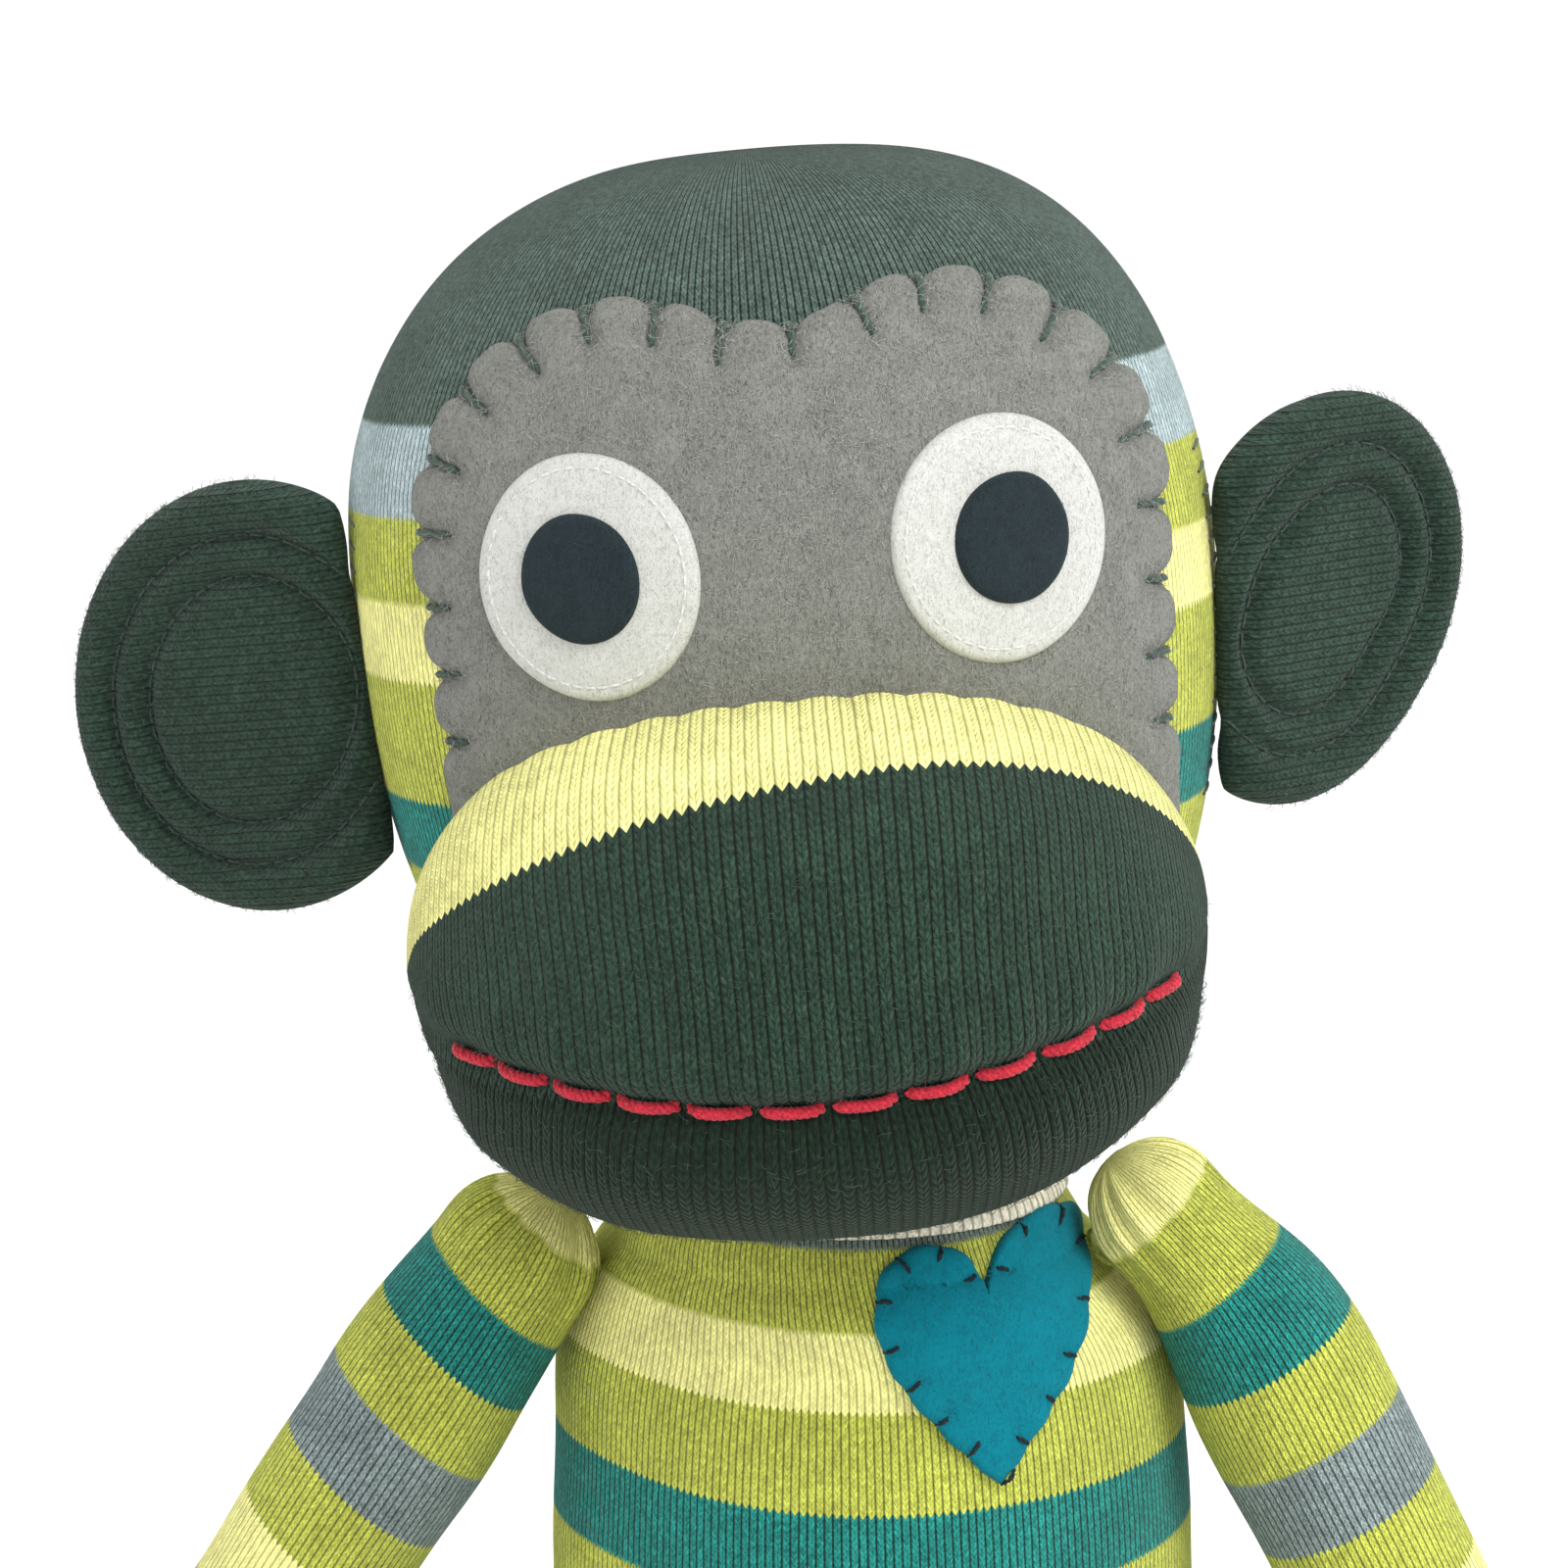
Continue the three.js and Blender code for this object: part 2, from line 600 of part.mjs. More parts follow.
function addEar(side, sign) {
  const surfaceX = headRadius(ear.height) * Math.sqrt(1 - (ear.forward / head.halfDepth) ** 2);
  const hinge = new THREE.Group();
  hinge.position.set(sign * (surfaceX + ear.hingeGap), -ear.forward, ear.height);
  hinge.rotation.y = sign * ear.rootLean;
  const flap = new THREE.Group();
  flap.rotation.z = sign > 0 ? earCut.left.turn : Math.PI - earCut.right.turn;
  hinge.add(flap);
  headGroup.add(hinge);

  const cutout = earCut[side];
  const form = (grow) => earSolid(cutout, grow);
  const frontHalf = halfSpace(-sign);
  const skin = cut(form(0), form(-knitWall));
  addSolid(flap, `${side}_ear_front`, skin.intersect(frontHalf), darkGreen);
  addSolid(flap, `${side}_ear_back`, skin.intersect(halfSpace(sign)), darkGreen);
  addSolid(flap, `${side}_ear_wadding`, form(-fillingInset), filling);
  ear.stitchInset.forEach((inset, i) => {
    const row = earRing(cutout, inset).intersect(layer(form, sewGap, threadFlat)).intersect(frontHalf);
    addSolid(flap, `${side}_ear_${i ? 'inner' : 'outer'}_stitch`, row, darkThread);
  });

  const seamHalf = Math.sqrt(cutout.radius ** 2 - ear.reach ** 2);
  const lift = sewGap + ear.seamThread / 2;
  const seam = [-1, -0.5, 0, 0.5, 1].map((share) => {
    const z = ear.height + share * seamHalf * ear.seamShare;
    const x = (headRadius(z) + lift) * Math.sqrt(1 - (ear.forward / (head.halfDepth + lift)) ** 2);
    return new THREE.Vector3(sign * x, -ear.forward, z);
  });
  addPiece(headGroup, `${side}_ear_seam_thread`, thread(seam, ear.seamThread, 8), darkThread);
}

addEar('left', 1);
addEar('right', -1);

// ---- limbs: a straight turned tube, bent along a curve

// the gathered root widens to the full radius over the limb's first stretch
function limbRadius(size, share) {
  const full = THREE.MathUtils.lerp(size.radius, size.endRadius, share);
  return THREE.MathUtils.lerp(size.rootRadius, full, THREE.MathUtils.smoothstep(share, 0, size.fullBy));
}

function limbProfile(size, grow) {
  const capSteps = 3;
  const bodySteps = size.steps;
  const profile = [];
  for (let i = 0; i <= capSteps; i += 1) {
    const swing = (i / capSteps) * Math.PI / 2;
    profile.push([(size.rootRadius + grow) * Math.sin(swing), -(size.rootRadius + grow) * Math.cos(swing)]);
  }
  for (let i = 1; i < bodySteps; i += 1) {
    const share = (i / bodySteps) ** size.rootCrowding;
    profile.push([limbRadius(size, share) + grow, share * size.length]);
  }
  for (let i = capSteps; i >= 0; i -= 1) {
    const swing = (i / capSteps) * Math.PI / 2;
    profile.push([(size.endRadius + grow) * Math.sin(swing), size.length + (size.endRadius + grow) * Math.cos(swing)]);
  }
  profile[0][0] = 0;
  profile[profile.length - 1][0] = 0;
  return profile;
}

function limbSolid(size, curve, sideways, grow) {
  const straight = turned(limbProfile(size, grow), 10);
  return toSolid(moveVertices(straight, (point) => {
    const share = THREE.MathUtils.clamp(point.z / size.length, 0, 1);
    const along = curve.getTangentAt(share);
    const across = along.clone().cross(sideways).normalize();
    const up = across.clone().cross(along);
    const beyond = point.z - share * size.length;
    const centre = curve.getPointAt(share).addScaledVector(along, beyond);
    point.copy(centre.addScaledVector(across, point.x).addScaledVector(up, -point.y));
  }));
}

// a curve whose direction swings from one angle to another over its first stretch
function bentCurve(start, length, bendLength, directionAt) {
  const steps = 12;
  const points = [start.clone()];
  for (let i = 0; i < steps; i += 1) {
    const run = ((i + 0.5) / steps) * length;
    const direction = directionAt(THREE.MathUtils.smoothstep(run, 0, bendLength));
    points.push(points[i].clone().addScaledVector(direction, length / steps));
  }
  return new THREE.CatmullRomCurve3(points);
}

function addLimb(name, size, curve, sideways, color) {
  const start = curve.getPointAt(0);
  const facing = towardsBody(start);
  const spin = new THREE.Quaternion().setFromUnitVectors(new THREE.Vector3(0, 1, 0), facing);
  const hole = new THREE.Matrix4().compose(
    start.clone().addScaledVector(facing, size.rootRadius),
    spin,
    new THREE.Vector3(1, 1, 1),
  );
  const holeTool = toSolid(new THREE.CylinderGeometry(rootHole.radius, rootHole.radius, rootHole.depth, 12), hole);
  const limb = (grow) => limbSolid(size, curve, sideways, grow);
  addSolid(monkey, `${name}_sock`, cut(limb(0), limb(-knitWall), holeTool), color);
  addSolid(monkey, `${name}_filling`, limb(-fillingInset), filling);
  const ring = new THREE.TorusGeometry(rootHole.radius, threadRound / 2, 5, 12).rotateX(Math.PI / 2);
  const knot = addPiece(monkey, `${name}_gather_thread`, ring, color);
  knot.position.copy(start).addScaledVector(facing, size.rootRadius + sewGap + threadRound / 2);
  knot.quaternion.copy(spin);
}

function addArm(side, sign) {
  const sewn = armSewing[side];
  const origin = new THREE.Vector3(bodyLean(sewn.originHeight), 0, sewn.originHeight);
  const flat = Math.cos(sewn.lift);
  const outward = new THREE.Vector3(
    sign * flat * Math.cos(sewn.forward),
    -flat * Math.sin(sewn.forward),
    Math.sin(sewn.lift),
  );
  const curveFrom = (start) => bentCurve(start, arm.length, sewn.bendLength, (share) => {
    const angle = THREE.MathUtils.lerp(sewn.startAngle, sewn.hang, share);
    return new THREE.Vector3(sign * Math.sin(angle), 0, -Math.cos(angle));
  });
  const size = { ...sewn, endRadius: arm.handRadius, length: arm.length, steps: 8, rootCrowding: 1.6 };
  const root = standOff(origin, outward, sewn.rootRadius + rootClearance);
  while (!clearsBody(curveFrom(root), size, arm.play)) root.addScaledVector(outward, skinGrid.step);
  addLimb(`${side}_arm`, size, curveFrom(root), new THREE.Vector3(0, 1, 0), lime);
}

function addLeg(side, sign) {
  const origin = new THREE.Vector3(sign * leg.spread, 0, leg.radius);
  const root = standOff(origin, new THREE.Vector3(0, -1, 0), leg.rootRadius + rootClearance);
  const curve = bentCurve(root, leg.length, leg.length, () => (
    new THREE.Vector3(sign * Math.sin(leg.splay), -Math.cos(leg.splay), (leg.footRadius - leg.radius) / leg.length)));
  const size = {
    radius: leg.radius, rootRadius: leg.rootRadius, endRadius: leg.footRadius, length: leg.length,
    fullBy: leg.fullBy, steps: 6, rootCrowding: 1.6,
  };
  addLimb(`${side}_leg`, size, curve, new THREE.Vector3(0, 0, 1), lime);
}

function addTail() {
  const origin = new THREE.Vector3(0, 0, tail.rootHeight);
  const root = standOff(origin, new THREE.Vector3(0, 1, 0), tail.radius + rootClearance);
  const drop = tail.rootHeight - tail.radius;
  const curve = bentCurve(root, tail.length, tail.length, (share) => {
    const turn = tail.curl * share;
    const fall = share < tail.dropShare ? -drop / (2 * tail.dropShare * tail.length) : 0;
    return new THREE.Vector3(Math.sin(turn), Math.cos(turn), fall);
  });
  const size = {
    radius: tail.radius, rootRadius: tail.radius, endRadius: tail.tipRadius, length: tail.length,
    fullBy: 1, steps: 9, rootCrowding: 1,
  };
  addLimb('tail', size, curve, new THREE.Vector3(0, 0, 1), darkGreen);
}

addArm('left', 1);
addArm('right', -1);
addLeg('left', 1);
addLeg('right', -1);
addTail();

export default monkey;
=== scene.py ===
# Stuffed sock monkey: the looks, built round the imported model.
# Shapes are worked out in millimetres and placed in metres.

import json
import math
import random

import bmesh
import bpy
from mathutils import Matrix, Vector, noise

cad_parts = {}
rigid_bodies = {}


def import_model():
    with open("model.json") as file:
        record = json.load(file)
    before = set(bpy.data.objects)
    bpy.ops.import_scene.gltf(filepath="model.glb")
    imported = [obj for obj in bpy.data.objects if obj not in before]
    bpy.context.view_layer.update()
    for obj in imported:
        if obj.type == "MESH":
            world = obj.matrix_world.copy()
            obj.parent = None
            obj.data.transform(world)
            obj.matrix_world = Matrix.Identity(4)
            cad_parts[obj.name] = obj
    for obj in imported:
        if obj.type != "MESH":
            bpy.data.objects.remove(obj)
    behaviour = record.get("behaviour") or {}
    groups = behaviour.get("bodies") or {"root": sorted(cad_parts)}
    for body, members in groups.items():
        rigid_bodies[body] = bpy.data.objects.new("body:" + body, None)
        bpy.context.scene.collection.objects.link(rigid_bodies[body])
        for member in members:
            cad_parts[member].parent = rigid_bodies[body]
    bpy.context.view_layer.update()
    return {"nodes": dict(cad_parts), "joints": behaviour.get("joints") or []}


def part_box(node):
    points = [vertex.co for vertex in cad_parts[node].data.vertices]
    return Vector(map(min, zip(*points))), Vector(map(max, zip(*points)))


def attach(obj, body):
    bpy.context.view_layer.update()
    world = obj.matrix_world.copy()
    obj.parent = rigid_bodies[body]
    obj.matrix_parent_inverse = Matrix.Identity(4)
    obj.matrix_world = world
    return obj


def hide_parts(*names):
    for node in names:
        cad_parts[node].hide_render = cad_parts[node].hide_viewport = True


for leftover in list(bpy.data.objects):
    bpy.data.objects.remove(leftover)

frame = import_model()
joints = {joint["name"]: joint for joint in frame["joints"]}
mm = 0.001
tau = 2 * math.pi
print("frame loaded:", len(frame["nodes"]), "nodes")


def jointPlace(name):
    return Vector(joints[name]["pos_m"]) / mm


# camera and studio

view = {"elevation": 10.0, "distance": 600.0, "lens": 96.4, "aimAside": 0.3, "aimUp": 28.0}
headPlace = {"centre": Vector((-13.8, 0, 234)), "roll": math.radians(5.3)}


def addCamera():
    tilt = math.radians(view["elevation"])
    forward = Vector((0, math.cos(tilt), -math.sin(tilt)))
    upward = Vector((0, math.sin(tilt), math.cos(tilt)))
    place = headPlace["centre"] - forward * view["distance"] - upward * view["aimUp"]
    place.x -= view["aimAside"]
    data = bpy.data.cameras.new("camera")
    data.lens = view["lens"]
    data.clip_start = 0.01
    camera = bpy.data.objects.new("camera", data)
    camera.location = place * mm
    camera.rotation_euler = forward.to_track_quat("-Z", "Y").to_euler()
    bpy.context.collection.objects.link(camera)
    bpy.context.scene.camera = camera


studio = {
    "keyPower": 25.0, "keySize": 0.8, "keyPlace": (0.85, -1.05, 1.35),
    "fillPower": 3.0, "fillSize": 1.2, "fillPlace": (-1.3, -1.0, 0.6),
    "skyStrength": 1.06, "floorSize": 12.0, "paper": 0.97,
}


def addLight(name, power, size, place, target):
    data = bpy.data.lights.new(name, "AREA")
    data.energy = power
    data.size = size
    light = bpy.data.objects.new(name, data)
    light.location = place
    light.rotation_euler = (Vector(target) - Vector(place)).to_track_quat("-Z", "Y").to_euler()
    bpy.context.collection.objects.link(light)


def addStudio():
    target = (0, 0, 0.16)
    addLight("key light", studio["keyPower"], studio["keySize"], studio["keyPlace"], target)
    addLight("fill light", studio["fillPower"], studio["fillSize"], studio["fillPlace"], target)
    world = bpy.data.worlds.new("studio")
    world.use_nodes = True
    world.node_tree.nodes["Background"].inputs["Color"].default_value = (1, 1, 1, 1)
    world.node_tree.nodes["Background"].inputs["Strength"].default_value = studio["skyStrength"]
    bpy.context.scene.world = world
    bpy.context.scene.view_settings.view_transform = "Standard"
    bm = bmesh.new()
    bmesh.ops.create_circle(bm, cap_ends=True, segments=96, radius=studio["floorSize"])
    bmesh.ops.translate(bm, verts=bm.verts, vec=(0, 0, -0.0004))
    mesh = bpy.data.meshes.new("floor")
    bm.to_mesh(mesh)
    bm.free()
    floor = bpy.data.objects.new("floor", mesh)
    bpy.context.collection.objects.link(floor)
    paper = bpy.data.materials.new("white paper")
    paper.use_nodes = True
    paper.node_tree.nodes["Principled BSDF"].inputs["Base Color"].default_value = (*[studio["paper"]] * 3, 1)
    paper.node_tree.nodes["Principled BSDF"].inputs["Roughness"].default_value = 0.9
    mesh.materials.append(paper)


addCamera()
addStudio()
print("camera and studio ready")

# node helpers


def calc(tree, operation, *values):
    node = tree.nodes.new("ShaderNodeMath")
    node.operation = operation
    for socket, value in zip(node.inputs, values):
        if isinstance(value, (int, float)):
            socket.default_value = value
        else:
            tree.links.new(value, socket)
    return node.outputs[0]


def times(tree, first, second):
    return calc(tree, "MULTIPLY", first, second)


def plus(tree, first, second):
    return calc(tree, "ADD", first, second)


def minus(tree, first, second):
    return calc(tree, "SUBTRACT", first, second)


def mapRange(tree, value, fromLow, fromHigh, toLow=0.0, toHigh=1.0):
    node = tree.nodes.new("ShaderNodeMapRange")
    node.interpolation_type = "SMOOTHSTEP"
    tree.links.new(value, node.inputs["Value"])
    ends = {"From Min": fromLow, "From Max": fromHigh, "To Min": toLow, "To Max": toHigh}
    for name, number in ends.items():
        node.inputs[name].default_value = number
    return node.outputs["Result"]


def noiseOf(tree, vector, scale, detail=2.0, roughness=0.5, distortion=0.0):
    node = tree.nodes.new("ShaderNodeTexNoise")
    tree.links.new(vector, node.inputs["Vector"])
    node.inputs["Scale"].default_value = scale
    node.inputs["Detail"].default_value = detail
    node.inputs["Roughness"].default_value = roughness
    node.inputs["Distortion"].default_value = distortion
    return node.outputs["Fac"]


def mixColours(tree, factor, first, second, blend="MIX"):
    node = tree.nodes.new("ShaderNodeMix")
    node.data_type = "RGBA"
    node.blend_type = blend
    for socket, value in ((node.inputs[0], factor), (node.inputs[6], first), (node.inputs[7], second)):
        if isinstance(value, tuple):
            socket.default_value = (*value, 1.0)
        elif isinstance(value, (int, float)):
            socket.default_value = value
        else:
            tree.links.new(value, socket)
    return node.outputs[2]


def greyOf(tree, value):
    node = tree.nodes.new("ShaderNodeCombineColor")
    for socket in node.inputs:
        tree.links.new(value, socket)
    return node.outputs[0]


def newGroup(name, inputs, outputs):
    group = bpy.data.node_groups.new(name, "ShaderNodeTree")
    for socketName, kind, default in inputs:
        socket = group.interface.new_socket(socketName, in_out="INPUT", socket_type=kind)
        if default is not None:
            socket.default_value = default
    for socketName in outputs:
        group.interface.new_socket(socketName, in_out="OUTPUT", socket_type="NodeSocketFloat")
    return group, group.nodes.new("NodeGroupInput").outputs, group.nodes.new("NodeGroupOutput").inputs


# stockinette: columns of V stitches, read from a UV map that counts wales and courses


def stockinetteGroup():
    group, given, made = newGroup(
        "stockinette",
        [("Stitches", "NodeSocketVector", None), ("Slant", "NodeSocketFloat", 0.9),
         ("Wobble", "NodeSocketFloat", 0.12), ("Leg", "NodeSocketFloat", 0.46)],
        ["Height", "Shade", "Course", "Speckle"],
    )
    drift = noiseOf(group, given["Stitches"], 0.35, 2.0)
    split = group.nodes.new("ShaderNodeSeparateXYZ")
    group.links.new(given["Stitches"], split.inputs[0])
    sway = times(group, minus(group, drift, 0.5), given["Wobble"])
    across = plus(group, split.outputs["X"], sway)
    side = times(group, calc(group, "ABSOLUTE", minus(group, calc(group, "FRACT", across), 0.5)), 2.0)
    along = minus(group, split.outputs["Y"], times(group, side, given["Slant"]))
    wave = calc(group, "SINE", times(group, calc(group, "FRACT", along), math.pi))
    strand = calc(group, "POWER", wave, 0.7)
    fromLeg = times(group, calc(group, "ABSOLUTE", minus(group, side, given["Leg"])), 1.85)
    leg = minus(group, 1.0, calc(group, "POWER", fromLeg, 2.2))
    height = times(group, plus(group, times(group, strand, 0.6), 0.4), leg)
    course = calc(group, "FLOOR", along)
    cell = group.nodes.new("ShaderNodeCombineXYZ")
    group.links.new(calc(group, "FLOOR", times(group, across, 2.0)), cell.inputs["X"])
    group.links.new(course, cell.inputs["Y"])
    white = group.nodes.new("ShaderNodeTexWhiteNoise")
    group.links.new(cell.outputs[0], white.inputs["Vector"])
    group.links.new(height, made["Height"])
    # Shade: painted shade, low in the grooves between strands and high on their crests, from the stitch
    # height
    group.links.new(mapRange(group, height, 0.02, 0.72), made["Shade"])
    group.links.new(course, made["Course"])
    group.links.new(white.outputs["Value"], made["Speckle"])
    return group


# felt: matted fibres lying in several directions over soft clumps


def fibreField(tree, place, turn, scale, thinness):
    node = tree.nodes.new("ShaderNodeMapping")
    node.inputs["Rotation"].default_value = (0.0, turn, 0.3 * turn)
    node.inputs["Scale"].default_value = (1.0, 0.6, thinness)
    tree.links.new(place, node.inputs["Vector"])
    waves = noiseOf(tree, node.outputs[0], scale, 2.0, 0.6, 0.6)
    away = calc(tree, "ABSOLUTE", minus(tree, waves, 0.5))
    return mapRange(tree, away, 0.0, 0.11, 1.0, 0.0)


def feltGroup():
    group, given, made = newGroup(
        "matted felt",
        [("Place", "NodeSocketVector", None), ("Scale", "NodeSocketFloat", 1.0)],
        ["Height", "Tone"],
    )
    scaled = group.nodes.new("ShaderNodeVectorMath")
    scaled.operation = "SCALE"
    group.links.new(given["Place"], scaled.inputs[0])
    group.links.new(given["Scale"], scaled.inputs["Scale"])
    place = scaled.outputs[0]
    clumps = noiseOf(group, place, 240.0, 3.0, 0.6, 0.8)
    fine = noiseOf(group, place, 2200.0, 3.0, 0.7, 0.8)
    fibres = fibreField(group, place, 0.4, 2600.0, 0.3)
    for turn, thinness in ((1.35, 0.35), (2.3, 0.3), (2.9, 0.4)):
        fibres = calc(group, "MAXIMUM", fibres, fibreField(group, place, turn, 2300.0, thinness))
    height = plus(group, times(group, clumps, 0.5), times(group, fibres, 0.4))
    height = plus(group, height, times(group, fine, 0.3))
    tone = plus(group, times(group, fibres, 0.35), times(group, clumps, 0.4))
    tone = plus(group, tone, times(group, fine, 0.35))
    group.links.new(height, made["Height"])
    group.links.new(mapRange(group, tone, 0.2, 0.95), made["Tone"])
    return group


# lint: sparse pale specks of loose fibre


def lintGroup():
    inputs = [("Place", "NodeSocketVector", None), ("Amount", "NodeSocketFloat", 0.5)]
    group, given, made = newGroup("lint", inputs, ["Specks"])
    stretched = noiseOf(group, given["Place"], 1500.0, 4.0, 0.8, 4.0)
    patches = noiseOf(group, given["Place"], 60.0, 2.0, 0.5)
    specks = mapRange(group, stretched, 0.62, 0.78)
    group.links.new(times(group, times(group, specks, patches), given["Amount"]), made["Specks"])
    return group


stockinette = stockinetteGroup()
mattedFelt = feltGroup()
lint = lintGroup()


def useGroup(tree, group, vector, **settings):
    node = tree.nodes.new("ShaderNodeGroup")
    node.node_tree = group
    tree.links.new(vector, node.inputs[0])
    for name, value in settings.items():
        node.inputs[name].default_value = value
    return node.outputs


def newMaterial(name, roughness, sheen, specular=0.25, sheenTint=(1.0, 1.0, 1.0)):
    material = bpy.data.materials.new(name)
    material.use_nodes = True
    shader = material.node_tree.nodes["Principled BSDF"]
    shader.inputs["Roughness"].default_value = roughness
    shader.inputs["Sheen Weight"].default_value = sheen
    shader.inputs["Sheen Roughness"].default_value = 0.5
    shader.inputs["Sheen Tint"].default_value = (*sheenTint, 1)
    shader.inputs["Specular IOR Level"].default_value = specular
    return material, material.node_tree, shader


def addBump(tree, shader, height, distance, strength):
    bump = tree.nodes.new("ShaderNodeBump")
    bump.inputs["Distance"].default_value = distance * mm
    bump.inputs["Strength"].default_value = strength
    tree.links.new(height, bump.inputs["Height"])
    tree.links.new(bump.outputs[0], shader.inputs["Normal"])


def stitchMap(tree):
    node = tree.nodes.new("ShaderNodeUVMap")
    node.uv_map = "stitches"
    return node.outputs[0]


def objectPlace(tree):
    return tree.nodes.new("ShaderNodeTexCoord").outputs["Object"]


# yarn colours; the darkest moss green is painted shade for the underside of the muzzle, not a yarn of its own
palette = {
    "crown": (0.080, 0.120, 0.100), "moss": (0.020, 0.046, 0.029), "mossPaintedShade": (0.007, 0.019, 0.010),
    "ear": (0.023, 0.046, 0.033), "mist": (0.42, 0.52, 0.54), "lime": (0.50, 0.54, 0.085),
    "straw": (0.90, 0.87, 0.32), "teal": (0.016, 0.230, 0.200), "slate": (0.23, 0.29, 0.29),
    "cream": (0.72, 0.68, 0.54), "steel": (0.16, 0.21, 0.18),
}


# a knit whose stripes change colour at given course counts, counted upwards
def knitMaterial(name, bands, courses, slant=0.9, bumpDepth=0.3, darkest=0.04, lintAmount=0.3, leg=0.36):
    paleGap = 0.72  # how pale the gaps between stitches are, against the stripe's own brightness
    material, tree, shader = newMaterial(name, 0.92, 0.1, 0.12, (0.75, 0.85, 0.78))
    stitches = useGroup(tree, stockinette, stitchMap(tree), Slant=slant, Leg=leg)
    ramp = tree.nodes.new("ShaderNodeValToRGB")
    ramp.color_ramp.interpolation = "CONSTANT"
    stops = ramp.color_ramp.elements
    stops[0].position, stops[0].color = 0.0, (*palette[bands[0][1]], 1)
    stops.remove(stops[1])
    for start, colour in bands[1:]:
        stop = stops.new(min(1.0, start / courses))
        stop.color = (*palette[colour], 1)
    position = calc(tree, "DIVIDE", plus(tree, stitches["Course"], 0.5), courses)
    tree.links.new(position, ramp.inputs[0])
    brightness = tree.nodes.new("ShaderNodeRGBToBW")
    tree.links.new(ramp.outputs["Color"], brightness.inputs[0])
    # painted shade between the stitches: the gaps are painted darker, down to darkest, and less dark on pale
    # stripes
    gap = plus(tree, times(tree, brightness.outputs[0], paleGap), darkest)
    shade = plus(tree, times(tree, stitches["Shade"], minus(tree, 1.0, gap)), gap)
    speckle = plus(tree, times(tree, stitches["Speckle"], 0.3), 0.85)
    drift = mapRange(tree, noiseOf(tree, objectPlace(tree), 90.0, 3.0, 0.6), 0.3, 0.7, 0.9, 1.1)
    hairs = mapRange(tree, noiseOf(tree, objectPlace(tree), 1500.0, 3.0, 0.7, 0.5), 0.3, 0.72, 0.5, 1.5)
    unevenness = mixColours(tree, brightness.outputs[0], greyOf(tree, hairs), (1.0, 1.0, 1.0))
    tone = times(tree, times(tree, shade, speckle), drift)
    coloured = mixColours(tree, 1.0, ramp.outputs["Color"], greyOf(tree, tone), "MULTIPLY")
    coloured = mixColours(tree, 1.0, coloured, unevenness, "MULTIPLY")
    specks = useGroup(tree, lint, objectPlace(tree), Amount=lintAmount)["Specks"]
    pale = mixColours(tree, 0.3, ramp.outputs["Color"], (0.75, 0.8, 0.72))
    tree.links.new(mixColours(tree, specks, coloured, pale), shader.inputs["Base Color"])
    addBump(tree, shader, stitches["Height"], bumpDepth, 0.9)
    return material


def feltMaterial(name, dark, light, scale=1.0, bumpDepth=0.5, sheen=0.25):
    material, tree, shader = newMaterial(name, 0.95, sheen, 0.1)
    fibres = useGroup(tree, mattedFelt, objectPlace(tree), Scale=scale)
    specks = useGroup(tree, lint, objectPlace(tree), Amount=0.5)["Specks"]
    base = mixColours(tree, fibres["Tone"], dark, light)
    bright = tuple(min(1.0, value * 1.7 + 0.02) for value in light)
    tree.links.new(mixColours(tree, specks, base, bright), shader.inputs["Base Color"])
    addBump(tree, shader, fibres["Height"], bumpDepth, 0.8)
    return material


def threadMaterial(name, dark, light, roughness=0.7, sheen=0.3):
    material, tree, shader = newMaterial(name, roughness, sheen, 0.3)
    grain = noiseOf(tree, objectPlace(tree), 2400.0, 3.0, 0.6)
    colour = mixColours(tree, mapRange(tree, grain, 0.35, 0.65), dark, light)
    tree.links.new(colour, shader.inputs["Base Color"])
    addBump(tree, shader, grain, 0.12, 0.6)
    return material


greyFelt = feltMaterial("grey felt", (0.085, 0.087, 0.078), (0.235, 0.24, 0.217), 1.0, 0.6, 0.08)
whiteFelt = feltMaterial("white felt", (0.38, 0.385, 0.36), (0.56, 0.565, 0.535), 1.1, 0.25, 0.05)
inkFelt = feltMaterial("ink felt", (0.006, 0.011, 0.014), (0.020, 0.032, 0.038), 1.1, 0.35, 0.05)
tealFelt = feltMaterial("teal felt", (0.001, 0.115, 0.160), (0.002, 0.190, 0.250), 1.0, 0.25, 0.03)
darkThread = threadMaterial("dark green thread", (0.016, 0.034, 0.026), (0.055, 0.095, 0.070))
earThread = threadMaterial("ear thread", (0.008, 0.018, 0.013), (0.026, 0.046, 0.035))
whiteThread = threadMaterial("white thread", (0.44, 0.44, 0.42), (0.62, 0.62, 0.59))
redYarn = threadMaterial("red yarn", (0.30, 0.006, 0.016), (0.58, 0.020, 0.045), 0.8, 0.15)
limeThread = threadMaterial("lime thread", (0.25, 0.30, 0.03), (0.45, 0.50, 0.08))
darkFluff = threadMaterial("dark green fluff", (0.020, 0.040, 0.028), (0.060, 0.095, 0.070), 0.85, 0.1)
greyFluff = threadMaterial("grey fluff", (0.17, 0.173, 0.157), (0.42, 0.42, 0.39), 0.85, 0.1)
whiteFluff = threadMaterial("white fluff", (0.44, 0.44, 0.42), (0.60, 0.60, 0.57), 0.85, 0.1)
inkFluff = threadMaterial("ink fluff", (0.010, 0.016, 0.021), (0.035, 0.050, 0.058), 0.85, 0.1)
tealFluff = threadMaterial("teal fluff", (0.002, 0.130, 0.180), (0.006, 0.210, 0.270), 0.85, 0.1)
print("materials ready")

# mesh helpers


def finishMesh(bm, name, material):
    mesh = bpy.data.meshes.new(name)
    bm.to_mesh(mesh)
    bm.free()
    mesh.polygons.foreach_set("use_smooth", [True] * len(mesh.polygons))
    mesh.materials.append(material)
    piece = bpy.data.objects.new(name, mesh)
    bpy.context.collection.objects.link(piece)
    return piece


